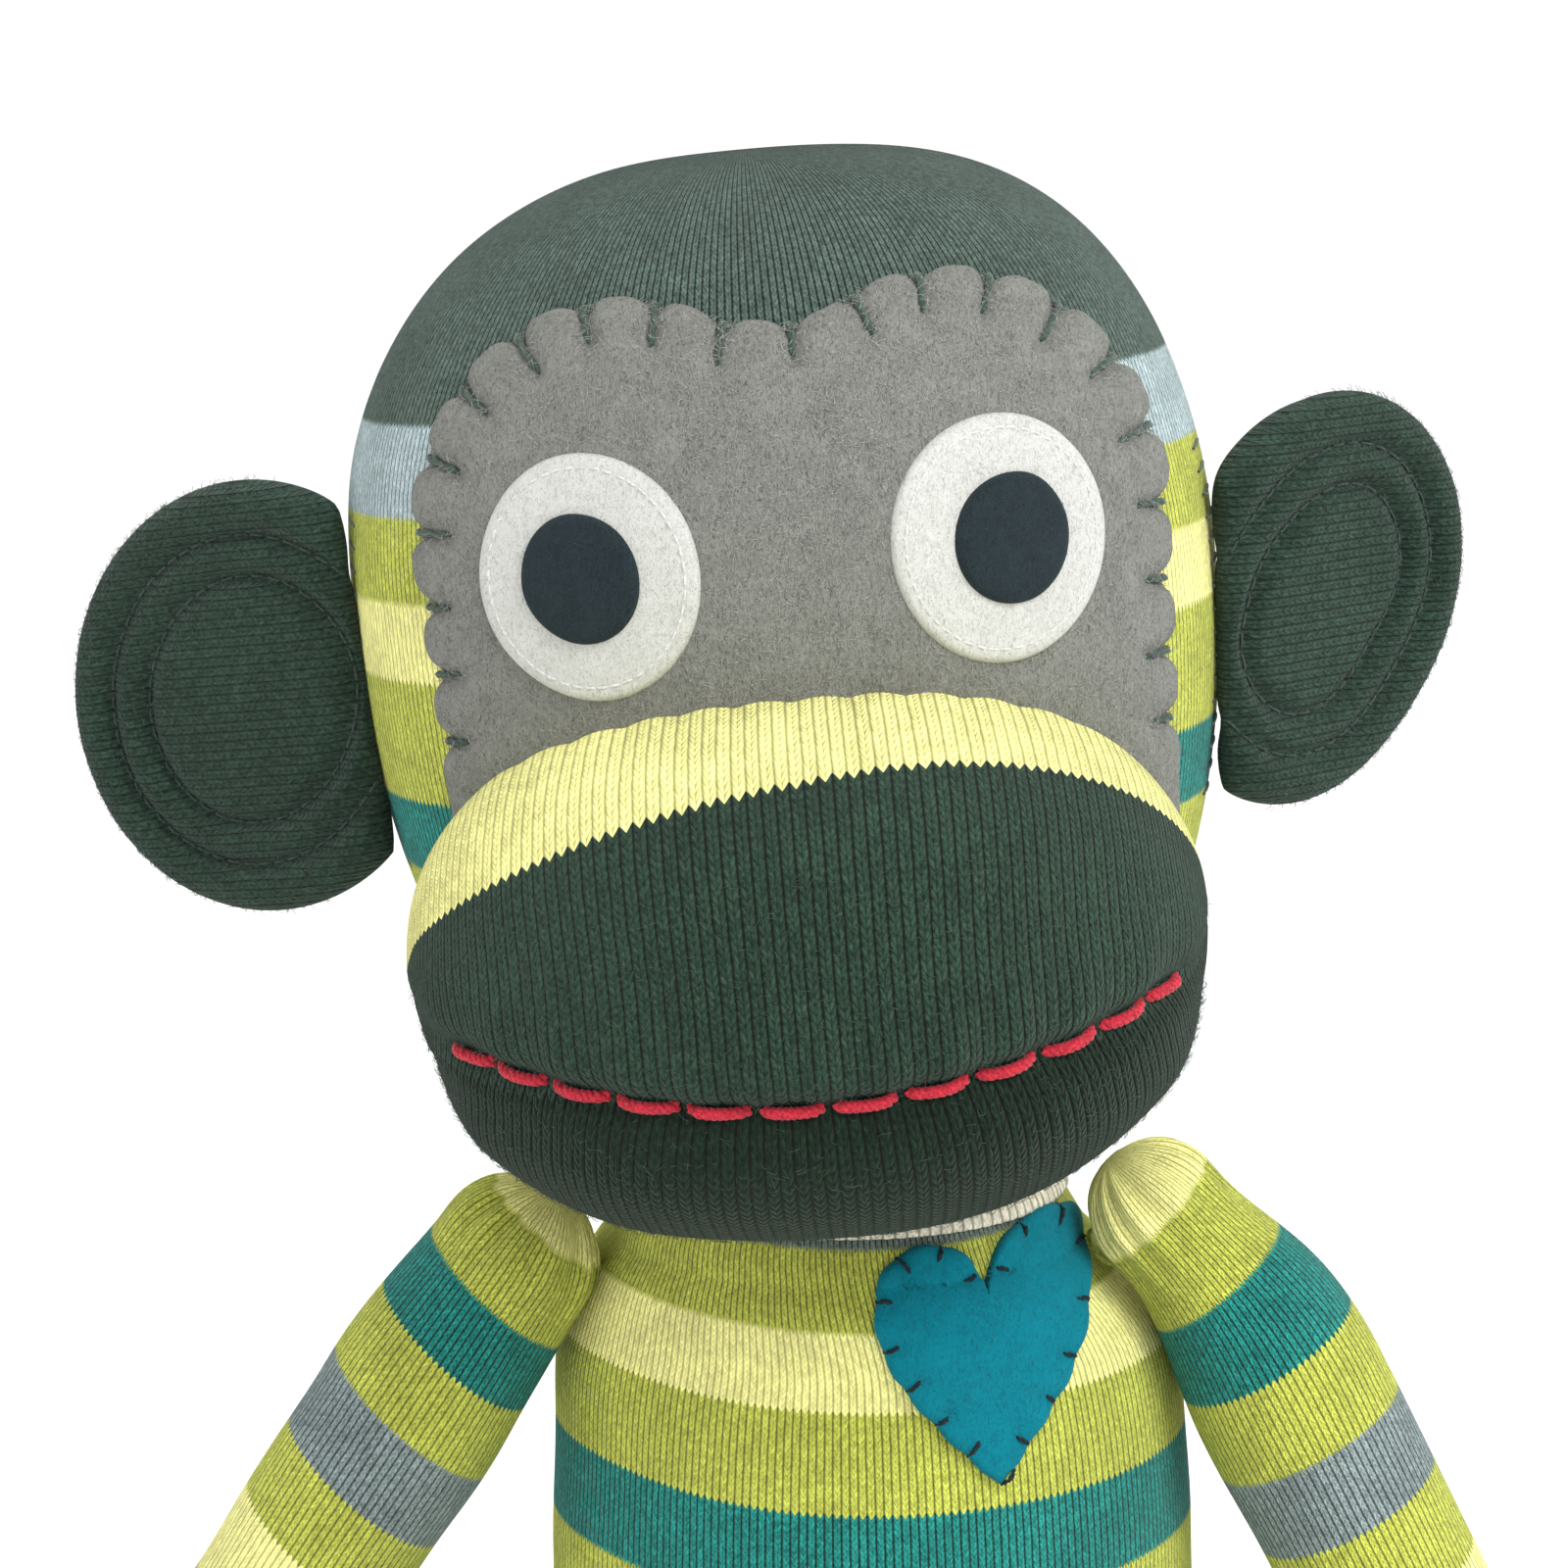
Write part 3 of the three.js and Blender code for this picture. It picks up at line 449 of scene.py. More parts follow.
# a grid wrapped onto a surface; its UV map counts wales across and courses up
def wrapGrid(name, columns, rows, place, wales, courses, material, flip=False):
    bm = bmesh.new()
    bmesh.ops.create_grid(bm, x_segments=columns, y_segments=rows, size=0.5)
    uvLayer = bm.loops.layers.uv.new("stitches")
    for face in bm.faces:
        for loop in face.loops:
            loop[uvLayer].uv = ((loop.vert.co.x + 0.5) * wales, (loop.vert.co.y + 0.5) * courses)
    for vert in bm.verts:
        vert.co = place(vert.co.x + 0.5, vert.co.y + 0.5) * mm
    bmesh.ops.remove_doubles(bm, verts=bm.verts, dist=2e-6)
    if flip:
        bmesh.ops.reverse_faces(bm, faces=bm.faces)
    return finishMesh(bm, name, material)


# pull the courses along by a distance that depends on where a point lies
def pullCourses(piece, distanceAt):
    layer = piece.data.uv_layers["stitches"].data
    for loop in piece.data.loops:
        place = piece.data.vertices[loop.vertex_index].co / mm
        layer[loop.index].uv.y -= distanceAt(place) / gauge["course"]


# a profile of (radius, height) points, read by its share of arc length
class ArcProfile:
    def __init__(self, points):
        self.points = points
        self.runs = [0.0]
        for (r0, h0), (r1, h1) in zip(points, points[1:]):
            self.runs.append(self.runs[-1] + math.hypot(r1 - r0, h1 - h0))
        self.length = self.runs[-1]

    def at(self, share):
        run = share * self.length
        low, high = 0, len(self.runs) - 1
        while high - low > 1:
            middle = (low + high) // 2
            if self.runs[middle] <= run:
                low = middle
            else:
                high = middle
        (r0, h0), (r1, h1) = self.points[low], self.points[high]
        part = (run - self.runs[low]) / max(1e-9, self.runs[high] - self.runs[low])
        return r0 + (r1 - r0) * part, h0 + (h1 - h0) * part

    # arc length up to a height, on the side wall
    def runTo(self, height):
        for run, (_, h0), (_, h1) in zip(self.runs, self.points, self.points[1:]):
            if h0 <= height <= h1 and h1 > h0:
                return run + height - h0
        return self.length


def rounded(halfWidth, height, reach, power):
    share = min(1.0, abs(height) / reach)
    return halfWidth * (1 - share ** power) ** (1 / power)


def smoothStep(value, low, high):
    share = min(1.0, max(0.0, (value - low) / (high - low)))
    return share * share * (3 - 2 * share)


def hump(distance, width):
    return math.exp(-((distance / width) ** 2))


def lump(point, size, seed=0.0):
    return noise.noise(Vector((point.x / size + seed, point.y / size, point.z / size)))


gauge = {"wale": 1.15, "course": 0.9}  # millimetres of one stitch


def toCourses(length):
    return length / gauge["course"]


# the length run at each point of a line
def runsAlong(points):
    runs = [0.0]
    for before, after in zip(points, points[1:]):
        runs.append(runs[-1] + (after - before).length)
    return runs


# loose fibres standing off a surface; surfaceAt gives a random place and its outward normal
def looseFibres(name, surfaceAt, settings, material, seed):
    chance = random.Random(seed)
    paths = []
    for _ in range(settings["count"]):
        point, normal = surfaceAt(chance)
        along = normal.cross(Vector([chance.uniform(-1, 1) for _ in range(3)])).normalized()
        aside = normal.cross(along)
        reach = settings["length"] * chance.uniform(0.5, 1.4)
        lift, curl = settings["rise"] * chance.uniform(0.2, 1.3), chance.uniform(-0.6, 0.6)
        path = []
        for i in range(5):
            share = i / 4
            path.append(point + along * reach * share + aside * reach * curl * share * share
                        + normal * (lift * math.sin(math.pi * 0.62 * share) - 0.1))
        paths.append(path)
    return strands(name, paths, settings["thickness"], material, 0)


# thread and yarn, twisted from plies


def strandPath(points, plies, twistRadius, turns, samples):
    paths = []
    spline = smoothPath(points, samples)
    for ply in range(plies):
        path = []
        for i, point in enumerate(spline):
            ahead = spline[min(i + 1, len(spline) - 1)] - spline[max(i - 1, 0)]
            ahead.normalize()
            side = ahead.orthogonal().normalized()
            up = ahead.cross(side)
            angle = tau * (turns * i / (len(spline) - 1) + ply / plies)
            path.append(point + (side * math.cos(angle) + up * math.sin(angle)) * twistRadius)
        paths.append(path)
    return paths


def smoothPath(points, samples):
    path = []
    count = len(points) - 1
    for i in range(samples + 1):
        place = i / samples * count
        index = min(int(place), count - 1)
        part = place - index
        p0, p1 = points[max(index - 1, 0)], points[index]
        p2, p3 = points[index + 1], points[min(index + 2, count)]
        path.append(0.5 * (2 * p1 + (p2 - p0) * part + (2 * p0 - 5 * p1 + 4 * p2 - p3) * part ** 2
                           + (3 * p1 - p0 - 3 * p2 + p3) * part ** 3))
    return path


# many open strands as one mesh; each path is a list of points in millimetres
def strands(name, paths, thickness, material, sides=1):
    curve = bpy.data.curves.new(name, "CURVE")
    curve.dimensions = "3D"
    curve.bevel_depth = thickness / 2 * mm
    curve.bevel_resolution = sides
    curve.use_fill_caps = True
    for path in paths:
        spline = curve.splines.new("POLY")
        spline.points.add(len(path) - 1)
        for i, point in enumerate(path):
            spline.points[i].co = (*(point * mm), 1)
    holder = bpy.data.objects.new(name + " path", curve)
    mesh = bpy.data.meshes.new_from_object(holder)
    bpy.data.objects.remove(holder)
    mesh.name = name
    mesh.polygons.foreach_set("use_smooth", [True] * len(mesh.polygons))
    mesh.materials.clear()
    mesh.materials.append(material)
    piece = bpy.data.objects.new(name, mesh)
    bpy.context.collection.objects.link(piece)
    return piece


def settle(piece, body, slot, *nodes):
    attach(piece, body)
    if nodes:
        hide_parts(*nodes)
    return piece


# head sock

headSock = {
    "halfWidth": 61.5, "depthShare": 0.878, "crown": 62.3, "crownPower": 2.6, "chin": 92.0, "chinPower": 2.1,
    "neckHeight": -80.5, "wales": 314, "lumps": 0.6, "leftFlat": 0.02, "rightFlat": 0.03,
    "bands": [(-99, "lime"), (-33, "teal"), (-22, "lime"), (-5, "straw"), (5.6, "lime"), (17.3, "mist"),
              (29.5, "crown")],
}
headMatrix = Matrix.Translation(headPlace["centre"]) @ Matrix.Rotation(-headPlace["roll"], 4, "Y")


def headRadius(height):
    if height > 0:
        return rounded(headSock["halfWidth"], height, headSock["crown"], headSock["crownPower"])
    return rounded(headSock["halfWidth"], height, headSock["chin"], headSock["chinPower"])


# the stuffing is a little flatter at the upper left and upper right
def flatShare(x, height):
    share = 1 - headSock["leftFlat"] * smoothStep(height, 0, 30) * smoothStep(x, 5, 50)
    return share * (1 - headSock["rightFlat"] * smoothStep(height, 20, 50) * smoothStep(-x, 5, 40))


def headProfile():
    points = []
    steps = 90
    for i in range(steps + 1):
        height = headSock["neckHeight"] * (1 - i / steps)
        points.append((headRadius(height), height))
    for i in range(1, steps + 1):
        height = headSock["crown"] * math.sin(i / steps * math.pi / 2)
        points.append((headRadius(height), height))
    return ArcProfile(points)


def bandStarts(bands, profile):
    return [(max(0, round(toCourses(profile.runTo(height)))), colour) if i else (0, colour)
            for i, (height, colour) in enumerate(bands)]


def buildHeadSock():
    profile = headProfile()
    courses = toCourses(profile.length)
    material = knitMaterial("head sock knit", bandStarts(headSock["bands"], profile), courses)

    def place(across, along):
        turn = tau * across + math.pi / 2
        radius, height = profile.at(along)
        flat = Vector((radius * math.cos(turn), radius * math.sin(turn) * headSock["depthShare"], height))
        flat.x *= flatShare(flat.x, height)
        swell = headSock["lumps"] * lump(flat, 34) * min(1.0, radius / 20)
        outward = Vector((flat.x, flat.y, flat.z * 0.6))
        if outward.length > 1:
            flat += outward.normalized() * swell
        return headMatrix @ flat

    piece = wrapGrid("head_sock_knit", 260, 130, place, headSock["wales"], courses, material)
    settle(piece, "head", "striped_knit", "head_sock", "head_filling")


buildHeadSock()
print("head sock done")


# a point over the face at (x, z) of the head, lifted off the knit
def facePoint(x, z, lift=0.0):
    def surface(px, pz):
        radius = headRadius(pz)
        inside = max(0.0, 1 - (px / flatShare(px, pz) / radius) ** 2)
        return Vector((px, -radius * headSock["depthShare"] * math.sqrt(inside), pz))

    step = 0.25
    here = surface(x, z)
    sideways = surface(x + step, z) - surface(x - step, z)
    upward = surface(x, z + step) - surface(x, z - step)
    normal = sideways.cross(upward).normalized()
    return here + normal * lift


# muzzle

muzzlePad = {
    "centre": Vector((-1, -45, -43.5)), "half": Vector((54, 49, 36)), "power": 2.3,
    "wales": 98, "course": 1.5, "arc": 225.0, "tilt": 0.22, "band": 48.6, "lip": -16.0,
    "lowNarrow": (2.4, 1.4), "topTurn": 150, "lowTurn": -150,
    "puckerHeight": 0.5, "puckerPitch": 7.4, "pleatHeight": 0.35, "pleatPitch": 8.2,
    "fluff": {"count": 4500, "length": 1.3, "thickness": 0.055, "rise": 0.45},
}
mouthLine = {
    "left": -49.0, "right": 48.5, "cornerHeight": -46.3, "dip": 8.4, "power": 1.7,
    "crease": 3.6, "creaseWidth": 2.8, "yarn": 1.65, "dashes": 12, "gapShare": 0.2,
    "lip": 1.8, "lipDrop": 9, "lipWidth": 7, "upperLip": 0.7, "upperRise": 8, "upperWidth": 6,
}


def mouthHeight(x):
    middle = (mouthLine["left"] + mouthLine["right"]) / 2
    half = (mouthLine["right"] - mouthLine["left"]) / 2
    share = min(1.3, abs((x - middle) / half)) ** mouthLine["power"]
    return mouthLine["cornerHeight"] - mouthLine["dip"] * (1 - share)


# swing runs from the left end to the right, turn goes over the top, the front and under the chin
def muzzlePoint(swing, turn, lift=0.0):
    direction = Vector((math.sin(swing), -math.cos(swing) * math.cos(turn), math.cos(swing) * math.sin(turn)))
    power = muzzlePad["power"]
    size = sum(abs(side) ** power for side in direction) ** (-1 / power)
    half = muzzlePad["half"]
    flat = Vector((direction.x * half.x, direction.y * half.y, direction.z * half.z)) * size
    outward = Vector((flat.x / half.x ** 2, flat.y / half.y ** 2, flat.z / half.z ** 2)).normalized()
    point = muzzlePad["centre"] + flat
    push = lift + 0.5 * lump(point, 26, 5.0)
    puckers = abs(math.sin(math.pi * point.x / muzzlePad["puckerPitch"]))
    push += muzzlePad["puckerHeight"] * puckers * smoothStep(direction.z, 0.6, 0.9)
    if direction.y < 0.15:
        away = point.z - mouthHeight(point.x)
        ends = smoothStep(54 - abs(point.x + 0.3), 0.5, 9)
        facing = smoothStep(-direction.y, -0.15, 0.25)
        push -= mouthLine["crease"] * hump(away, mouthLine["creaseWidth"]) * facing * (0.35 + 0.65 * ends)
        push += mouthLine["lip"] * hump(away + mouthLine["lipDrop"], mouthLine["lipWidth"]) * facing * ends
        upper = hump(away - mouthLine["upperRise"], mouthLine["upperWidth"])
        push += mouthLine["upperLip"] * upper * facing * ends
        pleats = math.cos(point.x * tau / muzzlePad["pleatPitch"])
        push += muzzlePad["pleatHeight"] * pleats * hump(away - 5, 5) * facing
        narrow = muzzlePad["lowNarrow"][0 if point.x < 0 else 1]
        point.x -= math.copysign(narrow, point.x) * smoothStep(abs(point.x), 20, 48) * smoothStep(-away, 0, 6)
    return point + outward * push


def buildMuzzle():
    courses = muzzlePad["arc"] / muzzlePad["course"]
    topTurn, lowTurn = math.radians(muzzlePad["topTurn"]), math.radians(muzzlePad["lowTurn"])
    span = topTurn - lowTurn
    tilt = math.radians(muzzlePad["tilt"])
    bandCourse = (math.radians(muzzlePad["band"]) - lowTurn) / span * courses
    lipCourse = (math.radians(muzzlePad["lip"]) - lowTurn) / span * courses
    # the knit below the lip is painted darker as painted shade under the muzzle; above it the same moss yarn
    bands = [(0, "mossPaintedShade"), (round(lipCourse), "moss"), (round(bandCourse), "straw")]
    material = knitMaterial("muzzle knit", bands, courses, 1.0, 0.55, 0.05, 0.4, 0.42)

    def place(across, along):
        swing = (across - 0.5) * math.pi
        turn = lowTurn + along * span
        turn += tilt * muzzlePad["half"].x * math.sin(swing) * smoothStep(turn, -0.4, 0.6)
        return headMatrix @ muzzlePoint(swing, turn)

    piece = wrapGrid("muzzle_knit", 240, 200, place, muzzlePad["wales"], courses, material)
    settle(piece, "head", "striped_knit", "muzzle_sock", "muzzle_filling", "muzzle_seam_thread")

    def muzzlePlace(chance):
        swing, turn = chance.uniform(-1.3, 1.3), chance.uniform(-1.6, 0.55)
        here, above = muzzlePoint(swing, turn), muzzlePoint(swing, turn, 1.0)
        return headMatrix @ here, (headMatrix.to_3x3() @ (above - here)).normalized()

    fuzz = looseFibres("muzzle_loose_fibres", muzzlePlace, muzzlePad["fluff"], darkFluff, 11)
    settle(fuzz, "head", "striped_knit")


# the muzzle's surface above a point (x, z) on its front
def muzzleAt(x, z, lift):
    half, power = muzzlePad["half"], muzzlePad["power"]
    dx, dz = (x - muzzlePad["centre"].x) / half.x, (z - muzzlePad["centre"].z) / half.z
    depth = max(0.0, 1 - abs(dx) ** power - abs(dz) ** power) ** (1 / power)
    direction = Vector((dx, -depth, dz)).normalized()
    swing = math.asin(max(-1.0, min(1.0, direction.x)))
    turn = math.atan2(direction.z, -direction.y)
    return muzzlePoint(swing, turn, lift)


def buildMouth():
    count = mouthLine["dashes"]
    span = mouthLine["right"] - mouthLine["left"]
    xs = [mouthLine["left"] + span * i / 400 for i in range(401)]
    line = [muzzleAt(x, mouthHeight(x), 0) for x in xs]
    runs = runsAlong(line)
    pitch = runs[-1] / count
    paths = []
    for dash in range(count):
        start = (dash + mouthLine["gapShare"] / 2) * pitch
        end = (dash + 1 - mouthLine["gapShare"] / 2) * pitch
        points = []
        for i in range(9):
            run = start + (end - start) * i / 8
            index = min(range(len(runs)), key=lambda k: abs(runs[k] - run))
            x = xs[index]
            arch = math.sin(math.pi * i / 8) ** 0.5
            lift = -1.0 + (0.4 + mouthLine["yarn"] / 2) * arch + 0.9
            points.append(headMatrix @ muzzleAt(x, mouthHeight(x), lift))
        paths += strandPath(points, 3, mouthLine["yarn"] * 0.24, 3.0, 30)
    piece = strands("mouth_yarn_stitches", paths, mouthLine["yarn"] * 0.56, redYarn, 2)
    settle(piece, "head", "red_yarn", "mouth_yarn")


buildMuzzle()
buildMouth()
print("muzzle and mouth done")

# face mask

faceMask = {
    "lobeX": 20.5, "centreX": 2.0, "lobeZ": 13.3, "halfWidth": 29.6, "halfHeight": 31.5, "dipAngle": 62.0,
    "dipZ": 39.5, "sideAngle": 10.0, "footX": 48.0, "footZ": -45.0, "thickness": 1.7, "lift": 0.3,
    "stitches": 21, "stitchLengths": (3.6, 5.3), "stitchWidth": 1.05, "stitchSeat": 0.38,
    "firstZ": -13.0, "lastZ": -19.0,
    "fluff": {"count": 16000, "length": 1.3, "thickness": 0.055, "rise": 0.4, "edgeShare": 0.3},
}


def quadratic(start, control, end, steps):
    shares = [i / steps for i in range(steps)]
    return [start.lerp(control, share).lerp(control.lerp(end, share), share) for share in shares]


def ellipseArc(centreX, startAngle, endAngle, steps):
    points = []
    for i in range(steps):
        angle = math.radians(startAngle + (endAngle - startAngle) * i / steps)
        points.append(Vector((centreX + faceMask["halfWidth"] * math.cos(angle),
                              faceMask["lobeZ"] + faceMask["halfHeight"] * math.sin(angle))))
    return points


def maskOutline():
    m = faceMask
    left, right = m["centreX"] - m["lobeX"], m["centreX"] + m["lobeX"]
    side, dip = m["sideAngle"], m["dipAngle"]
    leftArc = ellipseArc(left, 180 + side, dip, 60)
    rightArc = ellipseArc(right, 180 - dip, -side, 60)
    foot = [Vector((m["centreX"] - m["footX"], m["footZ"])), Vector((m["centreX"] + m["footX"], m["footZ"]))]
    middleZ = (leftArc[0].y + m["footZ"]) / 2
    rightEnd = Vector((right + m["halfWidth"] * math.cos(math.radians(side)), leftArc[0].y))
    points = quadratic(foot[0], Vector((leftArc[0].x + 1, middleZ)), leftArc[0], 24)
    points += leftArc + quadratic(leftArc[-1], Vector((m["centreX"], m["dipZ"])), rightArc[0], 10)
    points += rightArc + quadratic(rightEnd, Vector((rightEnd.x - 1, middleZ)), foot[1], 24)
    points += [foot[1].lerp(foot[0], i / 24) for i in range(25)]
    return points


# even spacing along an open line
def evenly(points, count):
    runs = runsAlong(points)
    spaced = []
    index = 0
    for i in range(count + 1):
        run = runs[-1] * i / count
        while index < len(runs) - 2 and runs[index + 1] < run:
            index += 1
        part = (run - runs[index]) / max(1e-9, runs[index + 1] - runs[index])
        spaced.append(points[index].lerp(points[index + 1], part))
    return spaced


# where whip stitches cross an edge: the place, the way inwards and the stitch's length
def stitchPlaces(line, count, length, spacing=lambda share: share):
    fine = evenly(line, 1200)
    places = []
    for i in range(count):
        index = round(1200 * min(1.0, max(0.0, spacing(i / (count - 1)))))
        before, after = fine[max(0, index - 8)], fine[min(len(fine) - 1, index + 8)]
        along = (after - before).normalized()
        uneven = 1 + 0.1 * math.sin(i * 2.4)
        places.append((fine[index], Vector((along.y, -along.x)), length(fine[index]) * uneven))
    return places


# distance from the nearest stitch, or from its outermost part
def besideStitch(point, places, reach=None):
    nearest = 1e9
    for place, inward, length in places:
        offset = point - place
        run = min(reach or length, max(-0.5, offset.dot(inward)))
        nearest = min(nearest, (offset - inward * run).length)
    return nearest


# a felt patch: rings from the middle out to a pulled-in edge, with a rolled rim
def feltPatch(name, outline, middle, surface, thickness, lift, places, length, material, segments, rings,
              pull=1.25):
    closed = outline if (outline[0] - outline[-1]).length < 1e-6 else outline + [outline[0]]
    edge = evenly(closed, segments)
    pulled = []
    for point in edge[:-1]:
        near = besideStitch(point, places, 0.5) if places else 1e9
        rim = pull * hump(near, 1.9) - 0.35
        rim += 0.018 * length * noise.noise(Vector((point.x / 2.5, point.y / 2.5, 3)))
        pulled.append(point - (point - middle).normalized() * rim)
    pulled.append(pulled[0])
    topShare = 0.86

    def place(across, along):
        spot = across * segments
        index = min(int(spot + 1e-6), segments - 1)
        rimPoint = pulled[index].lerp(pulled[index + 1], spot - index)
        if along <= topShare:
            share, fall = along / topShare, 0.0
        else:
            share, fall = 1.0, (along - topShare) / (1 - topShare)
        spread = share ** 0.8
        flat = middle.lerp(rimPoint, spread)
        inside = (rimPoint - flat).length
        rise = thickness * math.sqrt(max(0.0, 1 - (1 - min(1.0, inside / (thickness * 1.1))) ** 2)) * 0.75
        rise += thickness * 0.25 * (1 - fall)
        if places and inside < length + 4:
            near = besideStitch(flat, places)
            rise -= 0.6 * min(1.25, pull) * thickness * hump(near, 1.15)
            rise += 0.24 * pull * hump(near - 4.0, 2.5) * smoothStep(length + 4 - inside, 0, 4)
        rise = max(rise, -0.1) * (1 - fall)
        sunk = -0.6 * fall
        return surface(flat.x, flat.y, lift + rise + sunk)

    return wrapGrid(name, segments, rings, place, 1, 1, material, flip=True)


# fibres over a felt patch, thickest along its edge
def feltFluff(name, outline, middle, surface, lift, settings, material, seed):
    edge = evenly(outline + [outline[0]], 600)

    def somewhere(chance):
        rim = edge[chance.randrange(len(edge))]
        atEdge = chance.random() < settings["edgeShare"]
        share = 1 - 0.02 * chance.random() if atEdge else chance.random() ** 0.5
        spot = middle.lerp(rim, share * 0.985)
        low = lift * (0.35 if share > 0.97 else 1.0)
        here = surface(spot.x, spot.y, low)
        normal = (surface(spot.x, spot.y, low + 1) - here).normalized()
        if share > 0.97:
            beyond = spot + (rim - middle).normalized()
            normal = (normal * 0.35 + (surface(beyond.x, beyond.y, low) - here).normalized()).normalized()
        return here, normal

    return looseFibres(name, somewhere, settings, material, seed)


def onFace(x, z, lift):
    return headMatrix @ facePoint(x, z, lift)


# thread stitches over an edge, each diving into the cloth at both ends
def whipStitches(name, places, width, surface, thickness, lift, seat, material):
    paths = []
    for i, (place, inward, length) in enumerate(places):
        lean = 0.35 * math.sin(i * 2.4)
        sideways = Vector((-inward.y, inward.x)) * lean
        rises = [(0.1, -0.6), (0.35, 0.1), (0.9, 0.6), (length * 0.5, 0.62), (length - 0.6, 0.5),
                 (length, 0.1), (length + 0.1, -0.6)]
        points = []
        for run, rise in rises:
            spot = place + inward * run + sideways * (run / length)
            height = lift + thickness * seat * max(0.0, rise) / 0.6 + width * 0.45 * rise
            points.append(surface(spot.x, spot.y, height))
        paths += strandPath(points, 2, width * 0.22, 2.6, 16)
    return strands(name, paths, width * 0.6, material, 1)


def buildMask():
    outline = maskOutline()
    upper = [p for p in outline if p.y > (faceMask["firstZ"] if p.x < 0 else faceMask["lastZ"])]

    def spacing(share):
        turn = tau * share
        return share + 0.005 * math.sin(turn) - 0.007 * math.sin(2 * turn) - 0.006 * math.sin(turn / 2)

    def length(point):
        low, high = faceMask["stitchLengths"]
        return low + (high - low) * smoothStep(point.y, -5, 28)

    places = stitchPlaces(upper, faceMask["stitches"], length, spacing)
    middle = Vector((faceMask["centreX"], 4.0))
    thickness, lift = faceMask["thickness"], faceMask["lift"]
    piece = feltPatch("grey_felt_mask", outline, middle, onFace, thickness, lift, places,
                      faceMask["stitchLengths"][1], greyFelt, 520, 54)
    settle(piece, "head", "grey_felt", "face_mask")
    threads = whipStitches("mask_whip_stitches", places, faceMask["stitchWidth"], onFace, thickness, lift,
                           faceMask["stitchSeat"], darkThread)
    settle(threads, "head", "dark_thread", "mask_thread")
    fluff = feltFluff("mask_loose_fibres", outline, middle, onFace, lift + thickness, faceMask["fluff"],
                      greyFluff, 7)
    settle(fluff, "head", "grey_felt")


buildMask()
print("face mask done")

# eyes

eyeDisc = {
    "spread": 26.2, "centreX": 1.9, "height": 10.0, "radius": 15.7, "narrow": 0.95, "thickness": 1.3,
    "lift": 1.7, "wobble": 0.3, "pupilWobble": 0.45,
    "stitchInset": 1.6, "stitchPitch": 1.85, "stitchWidth": 0.42, "pupilRadius": 8.05,
    "pupilShift": {"left": 1.2, "right": -0.6},
    "fluff": {"count": 600, "length": 0.7, "thickness": 0.045, "rise": 0.15, "edgeShare": 0.4},
}


# a disc laid on the curved face is narrower seen from straight in front
def faceNarrowing(x, z):
    share = x / headRadius(z)
    return eyeDisc["narrow"] * math.cos(math.atan(headSock["depthShare"] * share / math.sqrt(1 - share ** 2)))


def discOutline(x, z, radius, count, wobble, seed):
    narrowing = faceNarrowing(x, z)
    points = []
    for i in range(count + 1):
        turn = tau * i / count
        where = Vector((0.9 * math.cos(turn) + seed, 0.9 * math.sin(turn), seed))
        reach = radius + wobble * noise.noise(where)
        points.append(Vector((x + reach * math.cos(turn) * narrowing, z + reach * math.sin(turn))))
    return points


def buildEye(side, sign):
    x = eyeDisc["centreX"] + sign * eyeDisc["spread"]
    z, radius = eyeDisc["height"], eyeDisc["radius"]
    middle = Vector((x, z))
    whiteEdge = discOutline(x, z, radius, 96, eyeDisc["wobble"], sign * 2)
    white = feltPatch(f"{side}_eye_white_felt", whiteEdge, middle, onFace,
                      eyeDisc["thickness"], eyeDisc["lift"], [], 0, whiteFelt, 200, 30)
    settle(white, "head", "white_felt", f"{side}_eye_white")
    top = eyeDisc["lift"] + eyeDisc["thickness"]
    fluff = feltFluff(f"{side}_eye_loose_fibres", whiteEdge, middle, onFace, top, eyeDisc["fluff"],
                      whiteFluff, 20 + sign)
    settle(fluff, "head", "white_felt")
    px = x + eyeDisc["pupilShift"][side]
    pupilEdge = discOutline(px, z, eyeDisc["pupilRadius"], 64, eyeDisc["pupilWobble"], sign * 5)
    sunk = eyeDisc["thickness"] * 0.9
    pupil = feltPatch(f"{side}_pupil_felt", pupilEdge, Vector((px, z)), onFace, eyeDisc["thickness"],
                      eyeDisc["lift"] + sunk, [], 0, inkFelt, 140, 22)
    settle(pupil, "head", "ink_felt", f"{side}_pupil")
    fluff = feltFluff(f"{side}_pupil_loose_fibres", pupilEdge, Vector((px, z)), onFace, top + sunk,
                      eyeDisc["fluff"], inkFluff, 30 + sign)
    settle(fluff, "head", "ink_felt")
    reach = radius - eyeDisc["stitchInset"]
    count = round(tau * reach / eyeDisc["stitchPitch"])
    paths = []
    for i in range(count):
        points = []
        for k in range(5):
            turn = tau * (i + 0.12 + 0.76 * k / 4) / count
            rise = eyeDisc["thickness"] * 0.86 + 0.22 * math.sin(math.pi * k / 4)
            aside = reach * math.cos(turn) * faceNarrowing(x, z)
            points.append(onFace(x + aside, z + reach * math.sin(turn), eyeDisc["lift"] + rise))
        paths.append(points)
    stitches = strands(f"{side}_eye_topstitch", paths, eyeDisc["stitchWidth"], whiteThread, 1)
    settle(stitches, "head", "white_thread", f"{side}_eye_stitch")


buildEye("left", 1)
buildEye("right", -1)
print("eyes done")

# body sock

